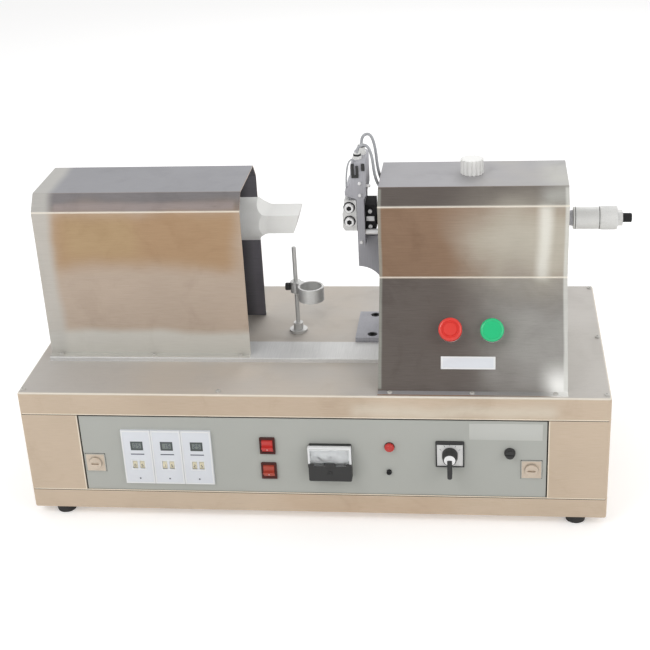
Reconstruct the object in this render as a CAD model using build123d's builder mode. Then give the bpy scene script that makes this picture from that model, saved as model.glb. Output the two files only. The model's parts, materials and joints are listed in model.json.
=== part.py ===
from build123d import *
import os
from math import atan2, cos, degrees, hypot, radians, sin

os.makedirs("parts", exist_ok=True)

# Tube sealing machine, in millimetres. The floor is z = 0, +X runs from the
# horn head to the anvil head, and the operator stands on the -Y side.

# Cabinet
base_length = 800.0
base_depth = 360.0
deck_z = 197.0
foot_height = 12.0
tray_lip = 30.0
deck_lip = 34.0
sheet = 1.5
deck_sheet = 2.0
fold_radius = 3.0
bend_radius = 3.0
rim_flange = 12.0
stile_width = 80.0
foot_top_radius = 15.0
foot_bottom_radius = 13.0
foot_inset_x = 40.0
foot_inset_y = 18.0
cable_hole_radius = 16.0

# Control panel and back panel
panel_recess = 1.0
panel_sheet = 2.0
panel_gap = 2.0
back_gap = 0.3
vent_width = 4.0
vent_pitch = 9.0
vent_rows = 9

# Screws used all over the sheet metal
screw_radius = 2.0
screw_head_radius = 3.5
screw_head_height = 2.2
screw_length = 8.0
screw_hole_clearance = 0.15

# Adjuster, which stands out past the right end of the cabinet
adjuster_reach = 32.5
base_x = -adjuster_reach / 2
base_left = base_x - base_length / 2
base_right = base_x + base_length / 2
base_front = -base_depth / 2
base_back = base_depth / 2
tray_top = foot_height + tray_lip
deck_bottom = deck_z - deck_lip
opening_left = base_left + stile_width
opening_right = base_right - stile_width

# Flat bar on the deck that ties the two heads together
bar_front = -84.0
bar_thickness = 6.0
bar_clearance = 1.0
bar_top = deck_z + bar_thickness

# Left head, which holds the ultrasonic stack
stack_end_gap = 14.0
left_cover_end = base_x - 91.5
left_cover_half_depth = 72.5
left_cover_shoulder_z = 418.6
left_cover_top_z = 440.0
left_cover_top_half_depth = 54.0
flange_width = 9.5
end_plate_gap = 0.2
end_vent_count = 7
end_vent_pitch = 12.0
stack_z = 380.0
horn_start = base_x - 145.0
horn_top_tip = base_x - 19.0
horn_bottom_tip = base_x - 27.0
horn_radius = 30.0
horn_shoulder_end = base_x - 61.0
horn_cutter_radius = 17.0
blade_width = 48.0
blade_height = 26.0
booster_length = 110.0
booster_big_radius = 27.0
booster_small_radius = 22.0
booster_flange_radius = 42.0
booster_flange_width = 8.0
stand_face = base_x - 214.0
stand_thickness = 20.0
stand_width = 90.0
stand_top = 426.0
stand_bore_clearance = 4.0
stand_foot_length = 70.0
stand_foot_thickness = 12.0
transducer_length = 112.0
transducer_front_radius = 28.0
piezo_radius = 25.0
transducer_back_radius = 23.0

# Right head cover
right_cover_start = base_x + 95.0
right_cover_inset = 56.0
right_cover_end = base_right - right_cover_inset
right_cover_front = -167.5
right_cover_face = -85.0
right_cover_bend_z = 326.0
right_cover_shoulder_z = 427.0
right_cover_top_z = 447.0
right_cover_top_front = -62.0
right_cover_top_back = 40.0
right_cover_back = 63.0
window_half_depth = 44.0
window_bottom = 205.0
window_top = 437.0

# Head frame inside the right head
frame_start = base_x + 53.0
frame_end_gap = 14.0
frame_end = right_cover_end - frame_end_gap
frame_front = -29.0
bar_back = frame_front - bar_clearance
frame_back = 59.0
frame_plate = 12.0
web_front = -6.0
web_back = 14.0
nose_x = base_x + 60.0
nose_low_z = 310.0
nose_top_z = 356.0
throat_radius = 35.0
bushing_start = base_x + 100.0
bushing_end = base_x + 140.0
bushing_half_width = 32.0
bushing_drop = 32.0
bushing_rise = 26.0
rear_plate_width = 12.0
quill_radius = 10.0
quill_collar_radius = 11.0
quill_collar_width = 4.0
frame_screw_x = base_x + 76.5
frame_screw_ys = (48.0, -17.0)
frame_screw_head_radius = 6.5
frame_screw_head_height = 6.0
knob_post_x = base_x + 218.0
knob_post_y = -7.5
knob_post_width = 20.0
knob_post_front = 30.0
knob_post_back = 38.0
knob_tab = 9.0

# Cylinder, rods and stop screw on the work axis of the right head
axis_z = 378.0
anvil_stroke = 60.5
cylinder_radius = 18.5
cylinder_head_radius = 21.0
cylinder_head = 15.0
bore_radius = 16.0
piston_width = 16.0
piston_margin = 1.0
stop_gap = 3.5
stop_depth = 5.0
rod_radius = 7.0
fit = 0.05
guide_radius = 4.0
guide_y = 24.0
guide_z = 369.0
guide_end = base_x + 206.0
spindle_radius = 6.25
knob_end_gap = 0.3

# Anvil carriage
plate_start = base_x + 62.5
plate_end = base_x + 72.5
plate_half_depth = 30.0
plate_low_z = 349.0
head_start = base_x + 47.0
head_neck_x = base_x + 55.5
head_end = base_x + 76.0
head_low_z = 418.0
head_top_z = 470.0
head_shoulder_z = 442.0
head_round = 5.0
fork_clearance = 0.5
coupling_end = base_x + 86.5
coupling_half_width = 18.0
coupling_low_z = 366.0
coupling_top_z = 406.0
anvil_face = base_x + 42.4
anvil_step = 3.0
anvil_low_z = 372.0
anvil_top_z = 416.0
anvil_land_low_z = 377.0
anvil_land_top_z = 397.0
anvil_half_width = 28.0
anvil_screw_x = base_x + 52.0
anvil_screw_zs = (386.0, 406.0)
anvil_screw_head_radius = 6.5
anvil_screw_head = 5.0
anvil_screw_radius = 4.0
anvil_screw_length = 14.0

# Hose fittings and the two leads over the carriage
fitting_places = ((base_x + 68.5, 8.0, 484.0), (base_x + 64.0, -12.0, 478.0))
fitting_radius = 5.0
fitting_hex = 6.0
fitting_hex_height = 4.0
lead_radius = 2.0
lead_loop_radius = 8.5
lead_lean = 5.0
lead_drop = 8.0
lead_end_x = base_x + 112.0

# Adjuster knob
knob_radius = 15.2
knurl_radius = 15.8
knob_length = 59.0
knurl_length = 23.0
locknut_width = 7.0
locknut_radius = 11.0
adjuster_start = base_right - 46.0

# Cover knob on top
cover_knob_radius = 15.5
cover_knob_height = 20.0
cover_stud_radius = 4.0
cover_stud_length = 16.0
cover_knob_flutes = 16
cover_knob_flute_radius = 1.6

# Push buttons on the sloped face
button_slope_height = 82.0
red_button_x = base_x + 190.6
green_button_x = base_x + 245.3
bezel_radius = 15.0
bezel_bore = 12.0
bezel_height = 4.0
barrel_radius = 10.8
barrel_depth = 28.0
button_radius = 15.6
button_stem_radius = 9.0
button_travel = 5.0
red_button_height = 12.0
green_button_height = 7.5

# Front panel instruments, by their centre
timer_inset = 78.0
timer_pitch = 42.0
timer_count = 3
timer_z = 98.5
timer_width = 41.6
timer_height = 85.0
timer_proud = 3.0
timer_body_width = 39.0
timer_body_height = 78.0
timer_body_depth = 66.0
display_width = 17.0
display_height = 13.5
display_z = 116.5
display_depth = 1.2
wheel_radius = 9.0
wheel_width = 6.0
wheel_side_gap = 0.4
wheel_tip_gap = 0.4
wheel_z = 86.0
wheel_offset = 5.0
wheel_show = 0.8
wheel_pin_radius = 1.5
wheel_sides = 10
rocker_x = base_x - 57.5
rocker_zs = (119.0, 79.5)
rocker_bezel_width = 21.0
rocker_bezel_height = 25.0
rocker_bezel = 2.0
rocker_body_width = 18.6
rocker_body_height = 22.6
rocker_body_depth = 24.0
rocker_radius = 9.4
rocker_width = 15.0
rocker_clearance = 0.35
rocker_pivot_depth = 3.0
rocker_face = 5.6
rocker_angle = 8.0
rocker_pin_radius = 1.5
meter_x = base_x + 28.25
meter_z = 97.0
meter_width = 58.5
meter_height = 52.0
meter_proud = 13.0
meter_wall = 1.5
meter_split_z = 95.0
meter_barrel_radius = 22.0
meter_barrel_depth = 30.0
meter_dial_depth = 8.0
meter_pivot_z = 89.0
meter_pin_radius = 1.0
needle_length = 24.0
needle_hub_radius = 3.0
needle_width = 1.0
needle_thickness = 0.8
needle_rest_angle = 45.0
lamp_x = base_x + 108.9
lamp_z = 119.4
lamp_radius = 5.0
lamp_bezel_radius = 7.0
trimmer_x = base_x + 107.6
trimmer_z = 80.6
trimmer_radius = 3.4
trimmer_shaft_radius = 2.0
switch_x = base_x + 190.0
switch_z = 110.0
switch_plate_width = 38.0
switch_plate_height = 39.0
switch_plate = 2.0
switch_body = 34.0
switch_body_depth = 42.0
switch_knob_radius = 10.5
switch_knob_height = 16.0
switch_lever_length = 29.0
switch_lever_width = 6.5
switch_shaft_radius = 3.0
fuse_inset = 48.4
fuse_z = 112.9
fuse_radius = 7.5
fuse_body_radius = 6.0
fuse_depth = 34.0
lock_inset_left = 16.0
lock_inset_right = 19.5
lock_z = 87.5
lock_plate = 28.0
lock_plate_proud = 1.2
lock_core_radius = 9.0
lock_core_proud = 4.0
lock_shaft_radius = 4.0
lock_tongue_length = 30.0
lock_tongue_width = 11.0
lock_tongue = 3.0

# Tube holder between the heads
post_x = base_x - 35.0
post_y = 18.0
post_radius = 3.0
post_top_z = 330.0
post_foot_radius = 13.0
post_foot_height = 4.0
post_collar_radius = 7.0
post_collar_height = 14.0
cup_x = base_x - 11.0
cup_low_z = 256.0
cup_top_z = 276.5
cup_radius = 18.5
cup_bore_radius = 15.7
cup_floor = 3.0
clamp_radius = 8.0
arm_width = 12.0
clamp_low_z = 260.0
clamp_screw_z = 268.0
clamp_screw_radius = 2.0
clamp_head_radius = 5.5
clamp_head_length = 7.0
clamp_screw_gap = 0.4

# Electrics and air inside the cabinet
chassis_left = base_x - 40.0
chassis_right = base_x + 170.0
chassis_front = -70.0
chassis_back = 110.0
chassis_height = 60.0
board_thickness = 1.6
fin_count = 9
fin_height = 40.0
fin_thickness = 3.0
fin_pitch = 9.0
core_width = 70.0
core_depth = 56.0
core_height = 62.0
coil_overhang = 10.0
fan_inset = 90.0
fan_z = 102.0
fan_size = 80.0
fan_depth = 25.0
fan_bore = 37.0
fan_hub_radius = 15.0
fan_blade_radius = 35.5
fan_blades = 7
fan_blade_angle = 38.0
fan_blade_thickness = 1.8
fan_blade_chord = 18.0
fan_pin_radius = 2.5
fan_cup_radius = 14.0
valve_x = base_x + 250.0
valve_y = 70.0
valve_length = 76.0
valve_width = 27.0
valve_height = 34.0
coil_size = 26.0
coil_height = 30.0
gland_inset = 35.0
gland_z = 75.0
gland_radius = 9.0
inlet_inset = 85.0
inlet_z = 112.0
inlet_radius = 7.0

flange_screw_inset = 16.0
deck_screw_inset_x = 6.0
deck_screw_inset_y = 10.0

# Worked out from the sizes above
booster_start = horn_start - booster_length
transducer_start = booster_start - transducer_length
left_cover_start = transducer_start - stack_end_gap
bushing_low_z = axis_z - bushing_drop
bushing_top_z = axis_z + bushing_rise
panel_face = base_front + panel_recess
panel_back = panel_face + panel_sheet
panel_left = opening_left + panel_gap
panel_right = opening_right - panel_gap
lock_xs = (panel_left + lock_inset_left, panel_right - lock_inset_right)
timer_first_x = panel_left + timer_inset
fuse_x = panel_right - fuse_inset
gland_x = opening_right - gland_inset
inlet_x = opening_right - inlet_inset
fan_x = opening_left + fan_inset
panel_low = tray_top + panel_gap
panel_top = deck_bottom - panel_gap
panel_front = Plane.XZ.offset(-panel_face)
chamber_start = bushing_end + cylinder_head
piston_start = chamber_start + piston_margin + anvil_stroke
piston_end = piston_start + piston_width
spindle_start = piston_end + stop_gap
chamber_end = spindle_start + stop_depth
cylinder_end = chamber_end + cylinder_head
quill_start = cylinder_end + rear_plate_width
knob_end = adjuster_start + knob_length
locknut_end = knob_end + locknut_width
spindle_end = base_right + adjuster_reach
web_bottom = deck_z + frame_plate
slope_angle = atan2(right_cover_bend_z - deck_z, right_cover_face - right_cover_front)
button_y = right_cover_front + button_slope_height * cos(slope_angle)
button_z = deck_z + button_slope_height * sin(slope_angle)
slope_normal = (0, -sin(slope_angle), cos(slope_angle))
blade_top = stack_z + blade_height / 2
screw_hole_radius = screw_radius + screw_hole_clearance
wheel_y = panel_face - timer_proud - wheel_show + wheel_radius
rocker_y = panel_face - rocker_bezel + rocker_pivot_depth
meter_dial_y = panel_face - meter_proud + meter_dial_depth

# Screw places in plan on the deck and on the flanges of both covers
deck_screw_y = base_depth / 2 - deck_screw_inset_y
deck_screw_x = base_length / 2 - deck_screw_inset_x
deck_screw_ys = (-deck_screw_y, 0, deck_screw_y)
deck_screws = [(base_x + side * deck_screw_x, y) for side in (-1, 1) for y in deck_screw_ys]
deck_screws.append((left_cover_end - 29.5, -deck_screw_y))
left_flange_xs = [left_cover_start + flange_screw_inset, left_cover_start + 151, left_cover_end - 13.5]
left_front_screws = [(x, -left_cover_half_depth - flange_width / 2) for x in left_flange_xs]
left_back_screws = [(x, left_cover_half_depth + flange_width / 2) for x in left_flange_xs]
right_flange_middle = (right_cover_start + right_cover_end) / 2
right_flange_last = right_cover_end - flange_screw_inset
right_flange_xs = [right_cover_start + flange_screw_inset, right_flange_middle, right_flange_last]
right_front_screws = [(x, right_cover_front - flange_width / 2) for x in right_flange_xs]
right_back_screws = [(x, right_cover_back + flange_width / 2) for x in right_flange_xs]
foot_places = [
    (base_x + side_x * (base_length / 2 - foot_inset_x), side_y * (base_depth / 2 - foot_inset_y))
    for side_x in (-1, 1)
    for side_y in (-1, 1)
]


def save(piece, label):
    """Names a finished piece and writes it."""
    piece.part.label = label
    export_step(piece.part, f"parts/{label}.step")


def along_x(x, y, z):
    """A plane whose own x axis is a shaft line along +X."""
    return Plane(origin=(x, y, z), x_dir=(1, 0, 0), z_dir=(0, -1, 0))


def towards_operator(x, y, z):
    """A plane whose own x axis is a shaft line along -Y, out of the front panel."""
    return Plane(origin=(x, y, z), x_dir=(0, -1, 0), z_dir=(1, 0, 0))


def upwards(x, y, z):
    """A plane whose own x axis is a shaft line along +Z."""
    return Plane(origin=(x, y, z), x_dir=(0, 0, 1), z_dir=(0, -1, 0))


def turned(line, outline, mode=Mode.ADD):
    """A turned body, from pairs of distance along the line and radius there."""
    with BuildSketch(line) as half:
        with BuildLine():
            Polyline((outline[0][0], 0), *outline, (outline[-1][0], 0), close=True)
        make_face()
    revolve(half.sketch, axis=Axis(line.origin, line.x_dir), mode=mode)


def drilled(places, z_low, z_high, radius):
    """Round holes down through a sheet at the given places in plan."""
    with BuildSketch(Plane.XY.offset(z_low)) as holes:
        with Locations(*places):
            Circle(radius)
    extrude(holes.sketch, amount=z_high - z_low, mode=Mode.SUBTRACT)


# Bottom tray: a folded pan with an inward rim that carries both panels
with BuildPart() as base_tray:
    with BuildSketch(Plane.XY.offset(foot_height)):
        with Locations((base_x, 0)):
            RectangleRounded(base_length, base_depth, fold_radius)
    extrude(amount=tray_lip)
    fillet(base_tray.faces().sort_by(Axis.Z)[0].edges(), fold_radius - 0.1)
    offset(amount=-sheet, openings=base_tray.faces().sort_by(Axis.Z)[-1])
    with BuildSketch(Plane.XY.offset(tray_top - sheet)):
        with Locations((base_x, 0)):
            with GridLocations(0, base_depth - 2 * sheet - rim_flange, 1, 2):
                Rectangle(base_length - 2 * stile_width, rim_flange)
    extrude(amount=sheet)
    drilled(foot_places, foot_height, foot_height + sheet, screw_hole_radius)
save(base_tray, "base_tray")

# Deck: the same fold turned over, with a lip all round
with BuildPart() as base_top:
    with BuildSketch(Plane.XY.offset(deck_bottom)):
        with Locations((base_x, 0)):
            RectangleRounded(base_length, base_depth, fold_radius)
    extrude(amount=deck_lip)
    fillet(base_top.faces().sort_by(Axis.Z)[-1].edges(), fold_radius - 0.1)
    offset(amount=-deck_sheet, openings=base_top.faces().sort_by(Axis.Z)[0])
    left_screws = left_front_screws + left_back_screws
    all_deck_screws = deck_screws + left_screws + right_front_screws + right_back_screws
    drilled(all_deck_screws, deck_z - deck_sheet, deck_z, screw_hole_radius)
    cable_holes = [(base_x - 290, 40), (frame_end - 60, frame_back - 100)]
    drilled(cable_holes, deck_z - deck_sheet, deck_z, cable_hole_radius)
save(base_top, "base_top")


def side_panel(outer_x, inward):
    """A folded side with front and back stiles and inward rims; inward is +1 or -1."""
    with BuildPart() as panel:
        with BuildSketch(Plane.XY.offset(tray_top)):
            with BuildLine():
                edge_x = outer_x + inward * stile_width
                inner_x = outer_x + inward * sheet
                inner_y = base_back - sheet
                outer = [(edge_x, base_front), (outer_x, base_front), (outer_x, base_back), (edge_x, base_back)]
                inner = [(edge_x, inner_y), (inner_x, inner_y), (inner_x, -inner_y), (edge_x, -inner_y)]
                FilletPolyline(*outer, radius=fold_radius)
                Line(outer[-1], inner[0])
                FilletPolyline(*inner, radius=fold_radius - sheet)
                Line(inner[-1], outer[0])
            make_face()
        extrude(amount=deck_bottom - tray_top)
        for rim_z in (tray_top, deck_bottom - sheet):
            with BuildSketch(Plane.XY.offset(rim_z)):
                with Locations((outer_x + inward * (sheet + rim_flange / 2), 0)):
                    Rectangle(rim_flange, base_depth - 2 * sheet)
            extrude(amount=sheet)
    return panel


save(side_panel(base_left, 1), "side_panel_left")
save(side_panel(base_right, -1), "side_panel_right")

# Rubber feet with a recess for their screws
with BuildPart() as feet:
    for foot_x, foot_y in foot_places:
        turned(upwards(foot_x, foot_y, 0), [(0, foot_bottom_radius), (foot_height, foot_top_radius)])
        recess = [(0, screw_head_radius + 1), (foot_height / 2, screw_head_radius + 1)]
        turned(upwards(foot_x, foot_y, 0), recess, Mode.SUBTRACT)
        bore = [(0, screw_hole_radius), (foot_height, screw_hole_radius)]
        turned(upwards(foot_x, foot_y, 0), bore, Mode.SUBTRACT)
save(feet, "feet")

# Control panel: a shallow pan with a cut-out for each instrument
timer_xs = [timer_first_x + index * timer_pitch for index in range(timer_count)]
with BuildPart() as control_panel:
    with BuildSketch(panel_front):
        with Locations(((panel_left + panel_right) / 2, (panel_low + panel_top) / 2)):
            Rectangle(panel_right - panel_left, panel_top - panel_low)
    extrude(amount=-panel_sheet)
    with BuildSketch(Plane.XZ.offset(-panel_back)):
        middle_x = (panel_left + panel_right) / 2
        with Locations((middle_x, panel_low + panel_sheet / 2), (middle_x, panel_top - panel_sheet / 2)):
            Rectangle(panel_right - panel_left, panel_sheet)
    extrude(amount=-rim_flange)
    with BuildSketch(Plane.XY.offset(tray_top)):
        with Locations((panel_left + 20, panel_back + 5), (panel_right - 20, panel_back + 5)):
            Circle(3)
    extrude(amount=panel_gap)
    with BuildSketch(panel_front):
        for lock_x in lock_xs:
            with Locations((lock_x, lock_z)):
                RectangleRounded(lock_plate, lock_plate, 2)
    extrude(amount=lock_plate_proud)
    with BuildSketch(panel_front.offset(lock_plate_proud)):
        for timer_x in timer_xs:
            with Locations((timer_x, timer_z)):
                Rectangle(timer_body_width + 0.4, timer_body_height + 0.4)
        for rocker_z in rocker_zs:
            with Locations((rocker_x, rocker_z)):
                Rectangle(rocker_body_width + 0.4, rocker_body_height + 0.4)
        with Locations((meter_x, meter_z)):
            Circle(meter_barrel_radius + 0.2)
        with Locations((lamp_x, lamp_z)):
            Circle(lamp_radius + 0.1)
        with Locations((trimmer_x, trimmer_z)):
            Circle(trimmer_shaft_radius + fit)
        with Locations((switch_x, switch_z)):
            Rectangle(switch_body + 0.4, switch_body + 0.4)
        with Locations((fuse_x, fuse_z)):
            Circle(fuse_body_radius + 0.1)
        for lock_x in lock_xs:
            with Locations((lock_x, lock_z)):
                Circle(lock_shaft_radius + fit)
    extrude(amount=-panel_sheet - lock_plate_proud, mode=Mode.SUBTRACT)
save(control_panel, "control_panel")

# Back panel with vent slots, the fan grille and two round holes
with BuildPart() as back_panel:
    with BuildSketch(Plane.XZ.offset(-base_back)):
        with Locations((base_x, (tray_top + deck_bottom) / 2)):
            Rectangle(base_length - 2 * stile_width - 2 * back_gap, deck_bottom - tray_top)
        with Locations((fan_x, fan_z)):
            with GridLocations(0, vent_pitch, 1, 7):
                SlotOverall(60, vent_width, mode=Mode.SUBTRACT)
        with Locations((base_x + 30, fan_z)):
            with GridLocations(90, vent_pitch, 2, vent_rows):
                SlotOverall(70, vent_width, mode=Mode.SUBTRACT)
        with Locations((gland_x, gland_z)):
            Circle(gland_radius + 0.1, mode=Mode.SUBTRACT)
        with Locations((inlet_x, inlet_z)):
            Circle(inlet_radius + 0.1, mode=Mode.SUBTRACT)
    extrude(amount=sheet)
save(back_panel, "back_panel")

# Flat bar that ties the heads together under the left cover
with BuildPart() as bed_bar:
    with BuildSketch(Plane.XY.offset(deck_z)):
        with Locations(((left_cover_start + right_cover_start) / 2, (bar_front + bar_back) / 2)):
            Rectangle(right_cover_start - left_cover_start, bar_back - bar_front)
    extrude(amount=bar_thickness)
    top_edges = bed_bar.faces().sort_by(Axis.Z)[-1].edges().filter_by(Axis.X)
    chamfer(top_edges, 0.8)
    drilled(left_front_screws, deck_z, bar_top, screw_hole_radius)
save(bed_bar, "bed_bar")


def left_profile():
    """The closed outline of the left head in its own cross-section."""
    with BuildLine() as outline:
        FilletPolyline(
            (-left_cover_half_depth, deck_z),
            (-left_cover_half_depth, left_cover_shoulder_z),
            (-left_cover_top_half_depth, left_cover_top_z),
            (left_cover_top_half_depth, left_cover_top_z),
            (left_cover_half_depth, left_cover_shoulder_z),
            (left_cover_half_depth, deck_z),
            radius=bend_radius,
        )
        Line((left_cover_half_depth, deck_z), (-left_cover_half_depth, deck_z))
    make_face(outline.edges())


# Left cover: one bent sheet, open towards the horn, with screw flanges
left_cover_length = left_cover_end - left_cover_start
with BuildPart() as left_cover:
    with BuildSketch(Plane.YZ.offset(left_cover_start)):
        left_profile()
    extrude(amount=left_cover_length)
    with BuildSketch(Plane.YZ.offset(left_cover_start)):
        left_profile()
        offset(amount=-sheet, kind=Kind.INTERSECTION, mode=Mode.REPLACE)
        with Locations((0, deck_z + sheet)):
            Rectangle(2 * (left_cover_half_depth - sheet), 4 * sheet)
    extrude(amount=left_cover_length, mode=Mode.SUBTRACT)
    with BuildSketch(Plane.YZ.offset(left_cover_start)):
        with Locations((-left_cover_half_depth, deck_z)):
            Rectangle(4 * sheet, 2 * bar_thickness)
    extrude(amount=left_cover_length, mode=Mode.SUBTRACT)
    with BuildSketch(Plane.YZ.offset(left_cover_start)):
        with Locations((-left_cover_half_depth + sheet, bar_top)):
            Rectangle(flange_width + sheet, sheet, align=(Align.MAX, Align.MIN))
        with Locations((left_cover_half_depth - sheet, deck_z)):
            Rectangle(flange_width + sheet, sheet, align=(Align.MIN, Align.MIN))
    extrude(amount=left_cover_length)
    drilled(left_front_screws, bar_top, bar_top + sheet, screw_hole_radius)
    drilled(left_back_screws, deck_z, deck_z + sheet, screw_hole_radius)
save(left_cover, "left_cover")

# End plate that closes the far end of the left cover, with cooling slots
with BuildPart() as left_end_plate:
    with BuildSketch(Plane.YZ.offset(left_cover_start)):
        left_profile()
        offset(amount=-sheet - end_plate_gap, kind=Kind.INTERSECTION, mode=Mode.REPLACE)
        with Locations((0, stack_z)):
            with GridLocations(0, end_vent_pitch, 1, end_vent_count):
                SlotOverall(80, vent_width, mode=Mode.SUBTRACT)
        with Locations((bar_front, deck_z)):
            Rectangle(bar_back - bar_front + 1, bar_thickness + end_plate_gap,
                      align=(Align.MIN, Align.MIN), mode=Mode.SUBTRACT)
    extrude(amount=sheet)
save(left_end_plate, "left_end_plate")

# Stand that carries the ultrasonic stack by the booster's flange
with BuildPart() as stack_stand:
    with BuildSketch(Plane.YZ.offset(stand_face)):
        with Locations((0, stand_top)):
            Rectangle(stand_width, stand_top - bar_top - 2, align=(Align.CENTER, Align.MAX))
        with Locations((0, stack_z)):
            Circle(booster_big_radius + stand_bore_clearance, mode=Mode.SUBTRACT)
    extrude(amount=stand_thickness)
    top_corners = stack_stand.edges().filter_by(Axis.X).group_by(Axis.Z)[-1]
    chamfer(top_corners, 14)
    with BuildSketch(Plane.XY.offset(deck_z)):
        with Locations((stand_face, bar_back + 0.5)):
            Rectangle(stand_foot_length, 82, align=(Align.MIN, Align.MIN))
    extrude(amount=stand_foot_thickness)
    with BuildSketch(Plane.XZ.offset(-10)):
        with BuildLine():
            Polyline(
                (stand_face + stand_thickness, deck_z + stand_foot_thickness),
                (stand_face + stand_foot_length, deck_z + stand_foot_thickness),
                (stand_face + stand_thickness, stack_z - 60),
                close=True,
            )
        make_face()
    extrude(amount=10)
save(stack_stand, "stack_stand")

# Booster, turned, with its mounting flange and six screws round it
flange_end = stand_face
flange_start = flange_end - booster_flange_width
with BuildPart() as booster:
    turned(
        along_x(0, 0, stack_z),
        [
            (booster_start, booster_big_radius),
            (flange_start, booster_big_radius),
            (flange_start, booster_flange_radius),
            (flange_end, booster_flange_radius),
            (flange_end, booster_big_radius),
            (flange_end + 24, booster_big_radius),
            (flange_end + 32, booster_small_radius),
            (horn_start, booster_small_radius),
        ],
    )
    with BuildSketch(Plane.YZ.offset(flange_start)):
        with Locations((0, stack_z)):
            with PolarLocations(booster_flange_radius - 7, 6):
                Circle(3.5)
    extrude(amount=-3)
save(booster, "booster")

# Transducer: back mass, four ceramic rings and front mass on one bolt
with BuildPart() as transducer:
    ring_start = transducer_start + 40
    rings = []
    for index in range(4):
        ring_x = ring_start + 6 * index
        rings += [
            (ring_x, piezo_radius),
            (ring_x + 5, piezo_radius),
            (ring_x + 5, piezo_radius + 1.5),
            (ring_x + 6, piezo_radius + 1.5),
        ]
    turned(
        along_x(0, 0, stack_z),
        [
            (transducer_start, 6),
            (transducer_start + 6, 6),
            (transducer_start + 6, transducer_back_radius),
            (ring_start, transducer_back_radius),
            *rings,
            (ring_start + 24, transducer_front_radius),
            (booster_start, transducer_front_radius),
        ],
    )
save(transducer, "transducer")


def horn_relief(half_size, radius):
    """One milled relief: flat at half_size, with the cutter's radius at the shoulder."""
    with BuildLine() as outline:
        Polyline(
            (horn_shoulder_end - radius, half_size + radius),
            (horn_shoulder_end - radius, 2 * horn_radius),
            (horn_top_tip + radius, 2 * horn_radius),
            (horn_top_tip + radius, half_size),
            (horn_shoulder_end, half_size),
        )
        RadiusArc(
            (horn_shoulder_end, half_size),
            (horn_shoulder_end - radius, half_size + radius),
            radius,
        )
    make_face(outline.edges())


# Horn: a turned bar milled down to a blade, with a slanted working end
with BuildPart() as horn:
    turned(along_x(0, 0, stack_z), [(horn_start, horn_radius), (horn_top_tip, horn_radius)])
    for flip in (1, -1):
        side_plane = Plane(origin=(0, 60, stack_z), x_dir=(1, 0, 0), z_dir=(0, -flip, 0))
        if flip < 0:
            side_plane = Plane(origin=(0, -60, stack_z), x_dir=(1, 0, 0), z_dir=(0, 1, 0))
        with BuildSketch(side_plane):
            horn_relief(blade_height / 2, horn_cutter_radius)
        extrude(amount=120, mode=Mode.SUBTRACT)
    for flip in (1, -1):
        plan_plane = Plane(origin=(0, 0, stack_z - flip * 60), x_dir=(1, 0, 0), z_dir=(0, 0, flip))
        with BuildSketch(plan_plane):
            horn_relief(blade_width / 2, horn_cutter_radius)
        extrude(amount=120, mode=Mode.SUBTRACT)
    with BuildSketch(Plane.XZ.offset(-horn_radius)):
        with BuildLine():
            Polyline(
                (horn_top_tip, blade_top),
                (horn_top_tip + 20, blade_top),
                (horn_top_tip + 20, blade_top - blade_height),
                (horn_bottom_tip, blade_top - blade_height),
                close=True,
            )
        make_face()
    extrude(amount=2 * horn_radius, mode=Mode.SUBTRACT)
save(horn, "horn")


def right_profile():
    """The closed outline of the right head in its own cross-section."""
    with BuildLine() as outline:
        FilletPolyline(
            (right_cover_front, deck_z),
            (right_cover_face, right_cover_bend_z),
            (right_cover_face, right_cover_shoulder_z),
            (right_cover_top_front, right_cover_top_z),
            (right_cover_top_back, right_cover_top_z),
            (right_cover_back, right_cover_shoulder_z),
            (right_cover_back, deck_z),
            radius=bend_radius,
        )
        Line((right_cover_back, deck_z), (right_cover_front, deck_z))
    make_face(outline.edges())


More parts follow.
